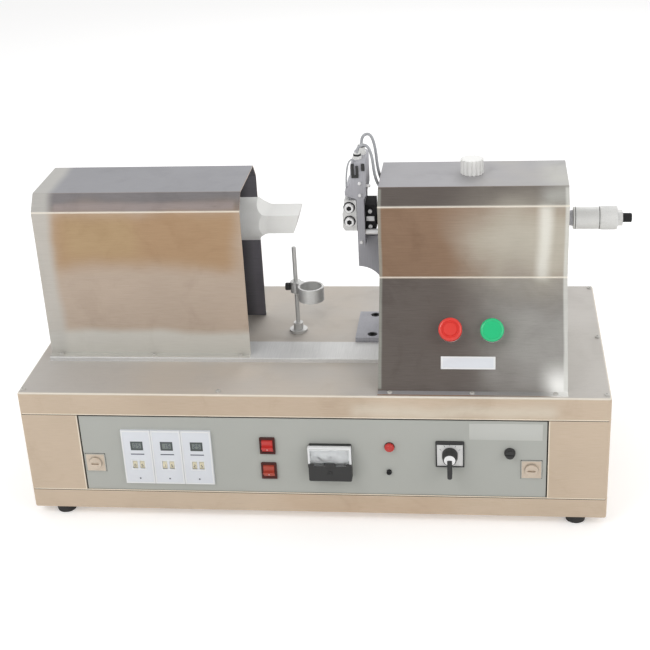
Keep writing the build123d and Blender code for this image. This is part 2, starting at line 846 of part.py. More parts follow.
# Right cover: a folded hood with a window on the anvil side
right_cover_length = right_cover_end - right_cover_start
with BuildPart() as right_cover:
    with BuildSketch(Plane.YZ.offset(right_cover_start)):
        right_profile()
    extrude(amount=right_cover_length)
    with BuildSketch(Plane.YZ.offset(right_cover_start + sheet)):
        right_profile()
        offset(amount=-sheet, kind=Kind.INTERSECTION, mode=Mode.REPLACE)
        with Locations((right_cover_front + 2 * sheet, deck_z)):
            Rectangle(right_cover_back - right_cover_front - 3 * sheet, 2 * sheet,
                      align=(Align.MIN, Align.MIN))
    extrude(amount=right_cover_length - 2 * sheet, mode=Mode.SUBTRACT)
    with BuildSketch(Plane.YZ.offset(right_cover_start)):
        with Locations((0, (window_bottom + window_top) / 2)):
            RectangleRounded(2 * window_half_depth, window_top - window_bottom, 6)
        with Locations(((frame_front + frame_back) / 2, deck_z)):
            Rectangle(frame_back - frame_front + 1, frame_plate + 0.5, align=(Align.CENTER, Align.MIN))
        with Locations((bar_front - 0.5, deck_z)):
            Rectangle(bar_back - bar_front + 1, bar_thickness + 0.5, align=(Align.MIN, Align.MIN))
    extrude(amount=sheet, mode=Mode.SUBTRACT)
    with BuildSketch(Plane.YZ.offset(right_cover_end - sheet)):
        with Locations((0, axis_z)):
            Circle(quill_radius + 1)
    extrude(amount=sheet, mode=Mode.SUBTRACT)
    with BuildSketch(Plane.YZ.offset(right_cover_start)):
        with Locations((right_cover_front + sheet, deck_z)):
            Rectangle(flange_width + sheet, sheet, align=(Align.MAX, Align.MIN))
        with Locations((right_cover_back - sheet, deck_z)):
            Rectangle(flange_width + sheet, sheet, align=(Align.MIN, Align.MIN))
    extrude(amount=right_cover_length)
    drilled(right_front_screws + right_back_screws, deck_z, deck_z + sheet, screw_hole_radius)
    drilled([(knob_post_x, knob_post_y)], right_cover_top_z - sheet, right_cover_top_z,
            cover_stud_radius + 0.5)
    for button_x in (red_button_x, green_button_x):
        face = Plane(origin=(button_x, button_y, button_z), x_dir=(1, 0, 0), z_dir=slope_normal)
        with BuildSketch(face):
            Circle(barrel_radius + 0.1)
        extrude(amount=3 * sheet, both=True, mode=Mode.SUBTRACT)
save(right_cover, "right_cover")

# Head frame: base plate, web with a round throat, bushing block, rear plate,
# quill for the stop screw and the post that takes the cover knob
with BuildPart() as head_frame:
    with BuildSketch(Plane.XY.offset(deck_z)):
        with Locations((frame_start, frame_front)):
            Rectangle(frame_end - frame_start, frame_back - frame_front, align=(Align.MIN, Align.MIN))
    extrude(amount=frame_plate)
    with BuildSketch(Plane.XZ.offset(-web_back)):
        with BuildLine():
            throat_end = (nose_x + throat_radius, nose_low_z - throat_radius)
            Polyline(
                throat_end,
                (nose_x + throat_radius, web_bottom),
                (quill_start, web_bottom),
                (quill_start, bushing_low_z + 2),
                (bushing_start + 2, bushing_low_z + 2),
                (bushing_start + 2, nose_top_z),
                (nose_x, nose_top_z),
                (nose_x, nose_low_z),
            )
            RadiusArc((nose_x, nose_low_z), throat_end, throat_radius)
        make_face()
    extrude(amount=web_back - web_front)
    for start, width in ((bushing_start, bushing_end - bushing_start), (cylinder_end, rear_plate_width)):
        with BuildSketch(Plane.YZ.offset(start)):
            with Locations((0, bushing_low_z)):
                Rectangle(2 * bushing_half_width, bushing_top_z - bushing_low_z,
                          align=(Align.CENTER, Align.MIN))
        extrude(amount=width)
    turned(
        along_x(0, 0, axis_z),
        [
            (quill_start - 1, quill_radius),
            (adjuster_start - quill_collar_width, quill_radius),
            (adjuster_start, quill_collar_radius),
        ],
    )
    with BuildSketch(Plane.XY.offset(web_bottom)):
        with Locations((knob_post_x, knob_post_front)):
            Rectangle(knob_post_width, knob_post_back - knob_post_front, align=(Align.CENTER, Align.MIN))
    extrude(amount=right_cover_top_z - 1.2 * sheet - web_bottom)
    with BuildSketch(Plane.XY.offset(right_cover_top_z - 1.2 * sheet - knob_tab)):
        with Locations((knob_post_x, knob_post_back)):
            Rectangle(knob_post_width, knob_post_back - knob_post_y + 10, align=(Align.CENTER, Align.MAX))
    extrude(amount=knob_tab)
    drilled([(knob_post_x, knob_post_y)], right_cover_top_z - 20, right_cover_top_z,
            cover_stud_radius + fit)
    with BuildSketch(Plane.YZ.offset(bushing_start)):
        with Locations((-guide_y, guide_z), (guide_y, guide_z)):
            Circle(guide_radius + fit)
        with Locations((0, axis_z)):
            Circle(rod_radius + 1)
    extrude(amount=bushing_end - bushing_start, mode=Mode.SUBTRACT)
    with BuildSketch(Plane.YZ.offset(cylinder_end)):
        with Locations((0, axis_z)):
            Circle(spindle_radius + fit)
    extrude(amount=adjuster_start - cylinder_end, mode=Mode.SUBTRACT)
    with BuildSketch(Plane.XY.offset(web_bottom)):
        with Locations(*[(frame_screw_x, y) for y in frame_screw_ys]):
            Circle(frame_screw_head_radius + 0.5)
    extrude(amount=-frame_screw_head_height, mode=Mode.SUBTRACT)
save(head_frame, "head_frame")

# Air cylinder: two heads and a barrel round a true bore
with BuildPart() as air_cylinder:
    turned(
        along_x(0, 0, axis_z),
        [
            (bushing_end, cylinder_head_radius),
            (chamber_start, cylinder_head_radius),
            (chamber_start, cylinder_radius),
            (chamber_end, cylinder_radius),
            (chamber_end, cylinder_head_radius),
            (cylinder_end, cylinder_head_radius),
        ],
    )
    with BuildSketch(Plane.XY.offset(axis_z)):
        ports = [(chamber_start - cylinder_head / 2, 0), (chamber_end + cylinder_head / 2, 0)]
        with Locations(*ports):
            Circle(5)
    extrude(amount=cylinder_head_radius + 9)
    turned(
        along_x(0, 0, axis_z),
        [
            (bushing_end, rod_radius + fit),
            (chamber_start, rod_radius + fit),
            (chamber_start, bore_radius),
            (chamber_end, bore_radius),
            (chamber_end, spindle_radius + fit),
            (cylinder_end, spindle_radius + fit),
        ],
        Mode.SUBTRACT,
    )
save(air_cylinder, "air_cylinder")

# Piston, its rod and the coupling block on the carriage
with BuildPart() as piston_rod:
    turned(
        along_x(0, 0, axis_z),
        [
            (coupling_end - 1, rod_radius),
            (piston_start, rod_radius),
            (piston_start, bore_radius - fit),
            (piston_end, bore_radius - fit),
        ],
    )
    with BuildSketch(Plane.YZ.offset(plate_end)):
        with Locations((0, coupling_low_z)):
            Rectangle(2 * coupling_half_width, coupling_top_z - coupling_low_z,
                      align=(Align.CENTER, Align.MIN))
    extrude(amount=coupling_end - plate_end)
save(piston_rod, "piston_rod")

# Two ground rods that keep the carriage straight
with BuildPart() as guide_rods:
    with BuildSketch(Plane.YZ.offset(plate_start)):
        with Locations((-guide_y, guide_z), (guide_y, guide_z)):
            Circle(guide_radius)
    extrude(amount=guide_end - plate_start)
    chamfer(guide_rods.faces().sort_by(Axis.X)[-2:].edges(), 0.8)
save(guide_rods, "guide_rods")

# Carriage plate, forked round the web, with a rounded head on top
with BuildPart() as carriage_plate:
    with BuildSketch(Plane.XZ.offset(plate_half_depth)):
        with BuildLine():
            Polyline(
                (plate_end, plate_low_z),
                (plate_end, head_low_z),
                (head_end, head_low_z + 6),
                (head_end, head_top_z - head_round),
            )
            RadiusArc((head_end, head_top_z - head_round), (head_end - head_round, head_top_z), -head_round)
            Line((head_end - head_round, head_top_z), (head_neck_x + head_round, head_top_z))
            RadiusArc((head_neck_x + head_round, head_top_z), (head_neck_x, head_top_z - head_round), -head_round)
            Polyline(
                (head_neck_x, head_top_z - head_round),
                (head_neck_x, head_shoulder_z),
                (head_start, head_low_z + 12),
                (head_start, head_low_z + 6),
                (plate_start, head_low_z),
                (plate_start, plate_low_z),
                (plate_end, plate_low_z),
            )
        make_face()
    extrude(amount=-2 * plate_half_depth)
    with BuildSketch(Plane.YZ.offset(plate_start)):
        with Locations(((web_front + web_back) / 2, plate_low_z)):
            Rectangle(web_back - web_front + 2 * fork_clearance, nose_top_z - plate_low_z + fork_clearance,
                      align=(Align.CENTER, Align.MIN))
        with Locations((-guide_y, guide_z), (guide_y, guide_z)):
            Circle(guide_radius)
    extrude(amount=plate_end - plate_start, mode=Mode.SUBTRACT)
save(carriage_plate, "carriage_plate")

# Anvil: a block with a raised sealing land across its face
with BuildPart() as anvil_block:
    with BuildSketch(Plane.XZ.offset(anvil_half_width)):
        with BuildLine():
            Polyline(
                (plate_start, anvil_low_z),
                (anvil_face + anvil_step, anvil_low_z),
                (anvil_face, anvil_land_low_z),
                (anvil_face, anvil_land_top_z),
                (anvil_face + anvil_step, anvil_land_top_z + anvil_step),
                (anvil_face + anvil_step, anvil_top_z),
                (plate_start, anvil_top_z),
                close=True,
            )
        make_face()
    extrude(amount=-2 * anvil_half_width)
    with BuildSketch(Plane.XZ.offset(anvil_half_width)):
        with Locations(*[(anvil_screw_x, z) for z in anvil_screw_zs]):
            Circle(anvil_screw_radius + screw_hole_clearance)
    extrude(amount=-anvil_screw_length - 1, mode=Mode.SUBTRACT)
save(anvil_block, "anvil_block")

# Two socket screws through the side of the anvil
with BuildPart() as anvil_screws:
    for screw_z in anvil_screw_zs:
        line = towards_operator(anvil_screw_x, -anvil_half_width, screw_z)
        turned(
            line,
            [
                (-anvil_screw_length, anvil_screw_radius),
                (0, anvil_screw_radius),
                (0, anvil_screw_head_radius),
                (anvil_screw_head - 0.6, anvil_screw_head_radius),
                (anvil_screw_head, anvil_screw_head_radius - 0.6),
            ],
        )
    with BuildSketch(Plane.XZ.offset(anvil_half_width + anvil_screw_head)):
        with Locations(*[(anvil_screw_x, z) for z in anvil_screw_zs]):
            RegularPolygon(3.4, 6)
    extrude(amount=-3, mode=Mode.SUBTRACT)
save(anvil_screws, "anvil_screws")

# Push-in fittings on top of the carriage
with BuildPart() as hose_fittings:
    for fitting_x, fitting_y, fitting_z in fitting_places:
        with BuildSketch(Plane.XY.offset(head_top_z)):
            with Locations((fitting_x, fitting_y)):
                RegularPolygon(fitting_hex, 6)
        extrude(amount=fitting_hex_height)
        turned(
            upwards(fitting_x, fitting_y, 0),
            [
                (head_top_z + fitting_hex_height - 1, fitting_radius),
                (fitting_z - 3, fitting_radius),
                (fitting_z - 3, fitting_radius - 1),
                (fitting_z, fitting_radius - 1),
            ],
        )
save(hose_fittings, "hose_fittings")


def lead(fitting_place, peak_z, fall_x):
    """One lead: up out of its fitting, over in a loop and down to the bushing block."""
    start_x, lead_y, start_z = fitting_place
    points = [
        (start_x, lead_y, start_z),
        (start_x, lead_y, peak_z),
        (fall_x, lead_y, peak_z),
        (fall_x + lead_lean, lead_y, window_top - lead_drop),
        (lead_end_x, lead_y, window_top - 2 * lead_drop),
        (lead_end_x, lead_y, bushing_top_z),
    ]
    with BuildPart() as cable:
        with BuildLine() as route:
            FilletPolyline(*points, radius=[lead_loop_radius, lead_loop_radius, 12, 8])
        with BuildSketch(Plane(origin=points[0], z_dir=route.line % 0)):
            Circle(lead_radius)
        sweep()
    return cable


lead_parts = [lead(fitting_places[0], 498, base_x + 86), lead(fitting_places[1], 489, base_x + 83)]
with BuildPart() as signal_leads:
    for piece in lead_parts:
        add(piece.part)
save(signal_leads, "signal_leads")

# Adjuster knob: a smooth sleeve and a knurled grip, bored for the spindle
with BuildPart() as adjuster_knob:
    turned(
        along_x(0, 0, axis_z),
        [
            (adjuster_start + knob_end_gap, knob_radius - 0.8),
            (adjuster_start + knob_end_gap + 0.8, knob_radius),
            (knob_end - knurl_length, knob_radius),
            (knob_end - knurl_length, knurl_radius),
            (knob_end - 0.8, knurl_radius),
            (knob_end, knurl_radius - 0.8),
        ],
    )
    with BuildSketch(Plane.YZ.offset(adjuster_start)):
        with Locations((0, axis_z)):
            Circle(spindle_radius + fit)
    extrude(amount=knob_length, mode=Mode.SUBTRACT)
save(adjuster_knob, "adjuster_knob")

# Hexagon lock nut against the knob
with BuildPart() as adjuster_locknut:
    with BuildSketch(Plane.YZ.offset(knob_end)):
        with Locations((0, axis_z)):
            RegularPolygon(locknut_radius, 6)
            Circle(spindle_radius + fit, mode=Mode.SUBTRACT)
    extrude(amount=locknut_width)
save(adjuster_locknut, "adjuster_locknut")

# Stop screw that sets how far the piston may draw back
with BuildPart() as stop_spindle:
    turned(
        along_x(0, 0, axis_z),
        [
            (spindle_start, spindle_radius - 1),
            (spindle_start + 1, spindle_radius),
            (spindle_end - 1, spindle_radius),
            (spindle_end, spindle_radius - 1),
        ],
    )
save(stop_spindle, "stop_spindle")

# Fluted hand knob that holds the right cover down
with BuildPart() as cover_knob:
    with BuildSketch(Plane.XY.offset(right_cover_top_z)):
        with Locations((knob_post_x, knob_post_y)):
            Circle(cover_knob_radius)
            with PolarLocations(cover_knob_radius, cover_knob_flutes):
                Circle(cover_knob_flute_radius, mode=Mode.SUBTRACT)
    extrude(amount=cover_knob_height)
    chamfer(cover_knob.faces().sort_by(Axis.Z)[-1].edges(), 0.8)
    with BuildSketch(Plane.XY.offset(right_cover_top_z)):
        with Locations((knob_post_x, knob_post_y)):
            Circle(cover_stud_radius)
    extrude(amount=-cover_stud_length)
save(cover_knob, "cover_knob")


def slope_line(x):
    """A plane whose own x axis is the line of a button on the sloped face."""
    return Plane(origin=(x, button_y, button_z), x_dir=slope_normal, z_dir=(1, 0, 0))


# Bezels of the two push buttons, with their barrels behind the face
with BuildPart() as button_bezels:
    for button_x in (red_button_x, green_button_x):
        turned(
            slope_line(button_x),
            [
                (-barrel_depth, barrel_radius),
                (0, barrel_radius),
                (0, bezel_radius),
                (bezel_height - 1, bezel_radius),
                (bezel_height, bezel_radius - 1),
            ],
        )
        turned(
            slope_line(button_x),
            [
                (-button_travel - 9, button_stem_radius + fit),
                (bezel_height, button_stem_radius + fit),
            ],
            Mode.SUBTRACT,
        )
save(button_bezels, "button_bezels")


def push_button(x, cap_height):
    """A mushroom cap on a stem that slides in its bezel."""
    gap = bezel_height + button_travel + 0.5
    with BuildPart() as button:
        turned(
            slope_line(x),
            [
                (-8, button_stem_radius),
                (gap, button_stem_radius),
                (gap, button_radius - 0.6),
                (gap + 0.6, button_radius),
                (gap + cap_height - 3, button_radius),
                (gap + cap_height - 1, button_radius - 2),
                (gap + cap_height, button_radius - 5),
            ],
        )
    return button


save(push_button(red_button_x, red_button_height), "red_button")
save(push_button(green_button_x, green_button_height), "green_button")

# Timers: three cases side by side, each with a display and two wheel pockets
pocket_radius = wheel_radius + wheel_tip_gap
pocket_width = wheel_width + 2 * wheel_side_gap
wheel_places = [(x, side) for x in timer_xs for side in (-1, 1)]
with BuildPart() as timer_cases:
    timer_front = panel_front.offset(timer_proud)
    for timer_x in timer_xs:
        with BuildSketch(panel_front):
            with Locations((timer_x, timer_z)):
                Rectangle(timer_width, timer_height)
        extrude(amount=timer_proud)
        with BuildSketch(panel_front):
            with Locations((timer_x, timer_z)):
                Rectangle(timer_body_width, timer_body_height)
        extrude(amount=-timer_body_depth)
        with BuildSketch(timer_front):
            with Locations((timer_x, display_z)):
                Rectangle(display_width, display_height)
        extrude(amount=-display_depth, mode=Mode.SUBTRACT)
    for timer_x, side in wheel_places:
        with BuildSketch(timer_front):
            with Locations((timer_x + side * wheel_offset, wheel_z)):
                Rectangle(pocket_width, 2 * pocket_radius)
        extrude(amount=-wheel_radius - timer_proud - pocket_radius, mode=Mode.SUBTRACT)
        with BuildSketch(Plane.YZ.offset(timer_x + side * wheel_offset - pocket_width / 2)):
            with Locations((wheel_y, wheel_z)):
                Circle(wheel_pin_radius)
        extrude(amount=pocket_width)
save(timer_cases, "timer_cases")

wheel_names = ("tens", "units")
for index, (timer_x, side) in enumerate(wheel_places):
    with BuildPart() as wheel:
        with BuildSketch(Plane.YZ.offset(timer_x + side * wheel_offset - wheel_width / 2)):
            with Locations((wheel_y, wheel_z)):
                RegularPolygon(wheel_radius, wheel_sides)
                Circle(wheel_pin_radius + fit, mode=Mode.SUBTRACT)
        extrude(amount=wheel_width)
    save(wheel, f"timer_{index // 2 + 1}_{wheel_names[index % 2]}_wheel")

# Rocker switches: two housings, each with a rocker on a cross pin
with BuildPart() as rocker_housings:
    for rocker_z in rocker_zs:
        with BuildSketch(panel_front):
            with Locations((rocker_x, rocker_z)):
                RectangleRounded(rocker_bezel_width, rocker_bezel_height, 1.5)
        extrude(amount=rocker_bezel)
        with BuildSketch(panel_front):
            with Locations((rocker_x, rocker_z)):
                Rectangle(rocker_body_width, rocker_body_height)
        extrude(amount=-rocker_body_depth)
        with BuildSketch(Plane.YZ.offset(rocker_x - rocker_width / 2 - rocker_clearance)):
            with Locations((rocker_y, rocker_z)):
                Circle(rocker_radius + rocker_clearance)
        extrude(amount=rocker_width + 2 * rocker_clearance, mode=Mode.SUBTRACT)
        with BuildSketch(Plane.YZ.offset(rocker_x - rocker_width / 2 - rocker_clearance)):
            with Locations((rocker_y, rocker_z)):
                Circle(rocker_pin_radius)
        extrude(amount=rocker_width + 2 * rocker_clearance)
save(rocker_housings, "rocker_housings")


def rocker(z):
    """A rocker pressed at its lower end: a drum with two shallow front flats."""
    with BuildPart() as paddle:
        with BuildSketch(Plane.YZ.offset(rocker_x - rocker_width / 2)):
            with Locations((rocker_y, z)):
                Circle(rocker_radius)
                for tilt in (0, 2 * rocker_angle):
                    with Locations(Location((0, 0, 0), (0, 0, tilt))):
                        with Locations((-rocker_face, 0)):
                            shift = Align.MIN if tilt == 0 else Align.MAX
                            Rectangle(rocker_radius, 2 * rocker_radius, align=(Align.MAX, shift),
                                      mode=Mode.SUBTRACT)
                Circle(rocker_pin_radius + fit, mode=Mode.SUBTRACT)
        extrude(amount=rocker_width)
    return paddle


save(rocker(rocker_zs[0]), "upper_rocker")
save(rocker(rocker_zs[1]), "lower_rocker")

# Panel meter: case with a barrel behind, a dial well and a pivot pin
with BuildPart() as meter_case:
    with BuildSketch(panel_front):
        with Locations((meter_x, meter_z)):
            RectangleRounded(meter_width, meter_height, 2)
    extrude(amount=meter_proud)
    with BuildSketch(panel_front):
        with Locations((meter_x, meter_z)):
            Circle(meter_barrel_radius)
    extrude(amount=-meter_barrel_depth)
    with BuildSketch(panel_front.offset(meter_proud)):
        with Locations((meter_x, meter_split_z)):
            Rectangle(meter_width, meter_height, align=(Align.CENTER, Align.MIN))
    extrude(amount=-meter_dial_depth, mode=Mode.SUBTRACT)
    with BuildSketch(panel_front.offset(meter_proud - meter_wall)):
        with Locations((meter_x, meter_split_z)):
            Rectangle(meter_width - 12, 2 * (meter_split_z - meter_pivot_z + 5))
    extrude(amount=meter_wall - meter_dial_depth, mode=Mode.SUBTRACT)
    with BuildSketch(Plane.XZ.offset(-meter_dial_y)):
        with Locations((meter_x, meter_pivot_z)):
            Circle(meter_pin_radius)
    extrude(amount=meter_dial_depth - meter_wall)
save(meter_case, "meter_case")

# Clear window over the dial
with BuildPart() as meter_window:
    window_low = meter_split_z + 0.1
    window_high = meter_z + meter_height / 2
    with BuildSketch(panel_front.offset(meter_proud)):
        with Locations((meter_x, (window_low + window_high) / 2)):
            Rectangle(meter_width, window_high - window_low)
    extrude(amount=-meter_dial_depth + 0.1)
    with BuildSketch(panel_front.offset(meter_proud - meter_wall)):
        with Locations((meter_x, window_low)):
            Rectangle(meter_width - 2 * meter_wall, window_high - window_low - meter_wall,
                      align=(Align.CENTER, Align.MIN))
    extrude(amount=-meter_dial_depth, mode=Mode.SUBTRACT)
save(meter_window, "meter_window")

# Needle on its hub, resting at the left end of the scale
with BuildPart() as meter_needle:
    hub_y = meter_dial_y - 2
    with BuildSketch(Plane.XZ.offset(-hub_y)):
        with Locations((meter_x, meter_pivot_z)):
            Circle(needle_hub_radius)
    extrude(amount=2)
    with BuildSketch(Plane.XZ.offset(-hub_y)):
        with Locations(Location((meter_x, meter_pivot_z, 0), (0, 0, 90 + needle_rest_angle))):
            with Locations((needle_length / 2, 0)):
                Trapezoid(needle_length, needle_width, 89)
    extrude(amount=needle_thickness)
    with BuildSketch(Plane.XZ.offset(-hub_y)):
        with Locations((meter_x, meter_pivot_z)):
            Circle(meter_pin_radius + fit)
    extrude(amount=2, mode=Mode.SUBTRACT)
save(meter_needle, "meter_needle")

# Signal lamp with a domed lens
with BuildPart() as pilot_lamp:
    turned(
        towards_operator(lamp_x, panel_face, lamp_z),
        [
            (-22, lamp_radius),
            (0, lamp_radius),
            (0, lamp_bezel_radius),
            (1.6, lamp_bezel_radius),
            (1.6, lamp_radius),
            (4.5, lamp_radius - 0.6),
            (6.2, lamp_radius - 2.4),
        ],
    )
save(pilot_lamp, "pilot_lamp")

# Small power trimmer, a slotted shaft held in the panel
with BuildPart() as power_trimmer:
    turned(
        towards_operator(trimmer_x, panel_face, trimmer_z),
        [
            (-panel_sheet - 9, trimmer_radius + 3),
            (-panel_sheet - 0.3, trimmer_radius + 3),
            (-panel_sheet - 0.3, trimmer_shaft_radius),
            (0.3, trimmer_shaft_radius),
            (0.3, trimmer_radius),
            (4.5, trimmer_radius),
        ],
    )
    with BuildSketch(panel_front.offset(4.5)):
        with Locations((trimmer_x, trimmer_z)):
            Rectangle(2 * trimmer_radius, 1)
    extrude(amount=-1.2, mode=Mode.SUBTRACT)
save(power_trimmer, "power_trimmer")

# Cam switch: a square plate with its body behind, and a lever knob
with BuildPart() as cam_switch_body:
    with BuildSketch(panel_front):
        with Locations((switch_x, switch_z)):
            RectangleRounded(switch_plate_width, switch_plate_height, 1.5)
    extrude(amount=switch_plate)
    with BuildSketch(panel_front):
        with Locations((switch_x, switch_z)):
            Rectangle(switch_body, switch_body)
    extrude(amount=-switch_body_depth)
    with BuildSketch(panel_front.offset(switch_plate)):
        with Locations((switch_x, switch_z)):
            Circle(switch_shaft_radius + fit)
    extrude(amount=-switch_plate - 12, mode=Mode.SUBTRACT)
save(cam_switch_body, "cam_switch_body")

with BuildPart() as cam_switch_knob:
    knob_base = switch_plate + 0.3
    turned(
        towards_operator(switch_x, panel_face, switch_z),
        [
            (-9, switch_shaft_radius),
            (knob_base, switch_shaft_radius),
            (knob_base, switch_knob_radius),
            (knob_base + 7, switch_knob_radius),
            (knob_base + switch_knob_height - 1, switch_knob_radius - 1.5),
            (knob_base + switch_knob_height, switch_knob_radius - 2.5),
        ],
    )
    with BuildSketch(panel_front.offset(knob_base + 5)):
        with Locations((switch_x, switch_z)):
            Rectangle(switch_lever_width, switch_lever_length, align=(Align.CENTER, Align.MAX))
    extrude(amount=switch_knob_height - 4)
    tip = cam_switch_knob.faces().sort_by(Axis.Z)[0]
    fillet(tip.edges().filter_by(Axis.Y), switch_lever_width / 2 - 0.5)
save(cam_switch_knob, "cam_switch_knob")

# Fuse holder with a slotted cap
with BuildPart() as fuse_holder:
    turned(
        towards_operator(fuse_x, panel_face, fuse_z),
        [
            (-fuse_depth, fuse_body_radius),
            (0, fuse_body_radius),
            (0, fuse_radius),
            (2.5, fuse_radius),
            (3.5, fuse_radius - 1.2),
            (8, fuse_radius - 1.6),
        ],
    )
    with BuildSketch(panel_front.offset(8)):
        with Locations((fuse_x, fuse_z)):
            Rectangle(2 * fuse_radius, 1.4)
    extrude(amount=-1.5, mode=Mode.SUBTRACT)
save(fuse_holder, "fuse_holder")


def panel_lock(x, outward):
    """A quarter-turn lock whose tongue reaches behind the stile; outward is +1 or -1."""
    with BuildPart() as lock:
        turned(
            towards_operator(x, panel_face, lock_z),
            [
                (-panel_sheet - lock_tongue - 0.3, lock_shaft_radius),
                (lock_plate_proud + 0.2, lock_shaft_radius),
                (lock_plate_proud + 0.2, lock_core_radius),
                (lock_plate_proud + lock_core_proud - 0.6, lock_core_radius),
                (lock_plate_proud + lock_core_proud, lock_core_radius - 0.6),
            ],
        )
        with BuildSketch(panel_front.offset(lock_plate_proud + lock_core_proud)):
            with Locations((x, lock_z)):
                SlotOverall(11, 3)
        extrude(amount=-2, mode=Mode.SUBTRACT)
        with BuildSketch(panel_front.offset(-panel_sheet - 0.3)):
            with Locations((x + outward * (lock_tongue_length - lock_tongue_width) / 2, lock_z)):
                SlotOverall(lock_tongue_length, lock_tongue_width)
        extrude(amount=-lock_tongue)
    return lock


save(panel_lock(lock_xs[0], -1), "panel_lock_left")
save(panel_lock(lock_xs[1], 1), "panel_lock_right")

# Tube holder: a post on the deck and an arm whose cup takes the tube's cap
with BuildPart() as holder_post:
    turned(
        upwards(post_x, post_y, deck_z),
        [
            (0, post_foot_radius),
            (post_foot_height, post_foot_radius),
            (post_foot_height, post_collar_radius),
            (post_collar_height, post_collar_radius),
            (post_collar_height, post_radius),
            (post_top_z - deck_z - 1, post_radius),
            (post_top_z - deck_z, post_radius - 1),
        ],
    )
save(holder_post, "holder_post")

arm_angle = degrees(atan2(-post_y, cup_x - post_x))
with BuildPart() as holder_arm:
    with BuildSketch(Plane.XY.offset(cup_low_z)):
        with Locations((cup_x, 0)):
            Circle(cup_radius)
    extrude(amount=cup_top_z - cup_low_z)
    with BuildSketch(Plane.XY.offset(clamp_low_z)):
        with Locations((post_x, post_y)):
            Circle(clamp_radius)
        with Locations(((post_x + cup_x) / 2, post_y / 2)):
            SlotCenterToCenter(hypot(cup_x - post_x, post_y), arm_width, rotation=arm_angle)
    extrude(amount=cup_top_z - clamp_low_z)
    with BuildSketch(Plane.XY.offset(cup_low_z + cup_floor)):
        with Locations((cup_x, 0)):
            Circle(cup_bore_radius)
    extrude(amount=cup_top_z - cup_low_z - cup_floor, mode=Mode.SUBTRACT)
    drilled([(post_x, post_y)], cup_low_z, cup_top_z, post_radius + fit)
    with BuildSketch(Plane.YZ.offset(post_x - clamp_radius - 1)):
        with Locations((post_y, clamp_screw_z)):
            Circle(clamp_screw_radius + fit)
    extrude(amount=clamp_radius + 1, mode=Mode.SUBTRACT)
save(holder_arm, "holder_arm")

with BuildPart() as holder_screw:
    head_x = post_x - clamp_radius - clamp_screw_gap
    turned(
        along_x(0, post_y, clamp_screw_z),
        [
            (head_x - clamp_head_length, clamp_head_radius - 0.8),
            (head_x - clamp_head_length + 0.8, clamp_head_radius),
            (head_x, clamp_head_radius),
            (head_x, clamp_screw_radius),
            (post_x - post_radius - clamp_screw_gap, clamp_screw_radius),
        ],
    )
save(holder_screw, "holder_screw")

# Ultrasonic generator: chassis, circuit board, heat sink and transformer
chassis_z = foot_height + sheet
with BuildPart() as ultrasonic_generator:
    with BuildSketch(Plane.XY.offset(chassis_z)):
        with Locations((chassis_left, chassis_front)):
            Rectangle(chassis_right - chassis_left, chassis_back - chassis_front,
                      align=(Align.MIN, Align.MIN))
    extrude(amount=chassis_height)
    inner_faces = ultrasonic_generator.faces().sort_by(Axis.Z)[-1:]
    inner_faces += ultrasonic_generator.faces().sort_by(Axis.Y)[:1]
    inner_faces += ultrasonic_generator.faces().sort_by(Axis.Y)[-1:]
    offset(amount=-sheet, openings=inner_faces)
    board_z = chassis_z + sheet + 8
    with BuildSketch(Plane.XY.offset(board_z)):
        with Locations((chassis_left + 60, 20)):
            Rectangle(100, 120)
    extrude(amount=board_thickness)
    with BuildSketch(Plane.XY.offset(chassis_z + sheet)):
        with Locations((chassis_left + 60, 20)):
            with GridLocations(90, 110, 2, 2):
                Circle(3)
    extrude(amount=board_z - chassis_z - sheet)
    with BuildSketch(Plane.XY.offset(board_z + board_thickness)):
        with Locations((chassis_left + 60 - 4 * fin_pitch, 40)):
            for index in range(fin_count):
                with Locations((index * fin_pitch, 0)):
                    Rectangle(fin_thickness, 60)
        with Locations((chassis_left + 60, -20)):
            with GridLocations(24, 0, 3, 1):
                Circle(9)
    extrude(amount=fin_height)
    with BuildSketch(Plane.XY.offset(board_z + board_thickness)):
        with Locations((chassis_left + 60, 40)):
            Rectangle(fin_pitch * fin_count, 60)
    extrude(amount=5)
    core_x = chassis_right - 50
    with BuildSketch(Plane.XY.offset(chassis_z + sheet)):
        with Locations((core_x, 40)):
            Rectangle(core_width, core_depth)
    extrude(amount=core_height)
    with BuildSketch(Plane.XY.offset(chassis_z + sheet + 12)):
        with Locations((core_x, 40)):
            RectangleRounded(core_width - 24, core_depth + 2 * coil_overhang, 8)
    extrude(amount=core_height - 24)
save(ultrasonic_generator, "ultrasonic_generator")

# Fan behind the grille: a square frame with a spider, and its rotor
fan_back = base_back - sheet
with BuildPart() as fan_frame:
    with BuildSketch(Plane.XZ.offset(-fan_back)):
        with Locations((fan_x, fan_z)):
            RectangleRounded(fan_size, fan_size, 4)
            Circle(fan_bore, mode=Mode.SUBTRACT)
            with GridLocations(fan_size - 9, fan_size - 9, 2, 2):
                Circle(2.2, mode=Mode.SUBTRACT)
    extrude(amount=fan_depth)
    spider_y = fan_back - fan_depth
    with BuildSketch(Plane.XZ.offset(-spider_y)):
        with Locations((fan_x, fan_z)):
            Circle(fan_hub_radius)
            for angle in (45, 135):
                Rectangle(2 * fan_bore + 2, 4, rotation=angle)
    extrude(amount=-4)
    with BuildSketch(Plane.XZ.offset(-spider_y)):
        with Locations((fan_x, fan_z)):
            Circle(fan_pin_radius)
    extrude(amount=-fan_depth + 5)
save(fan_frame, "fan_frame")

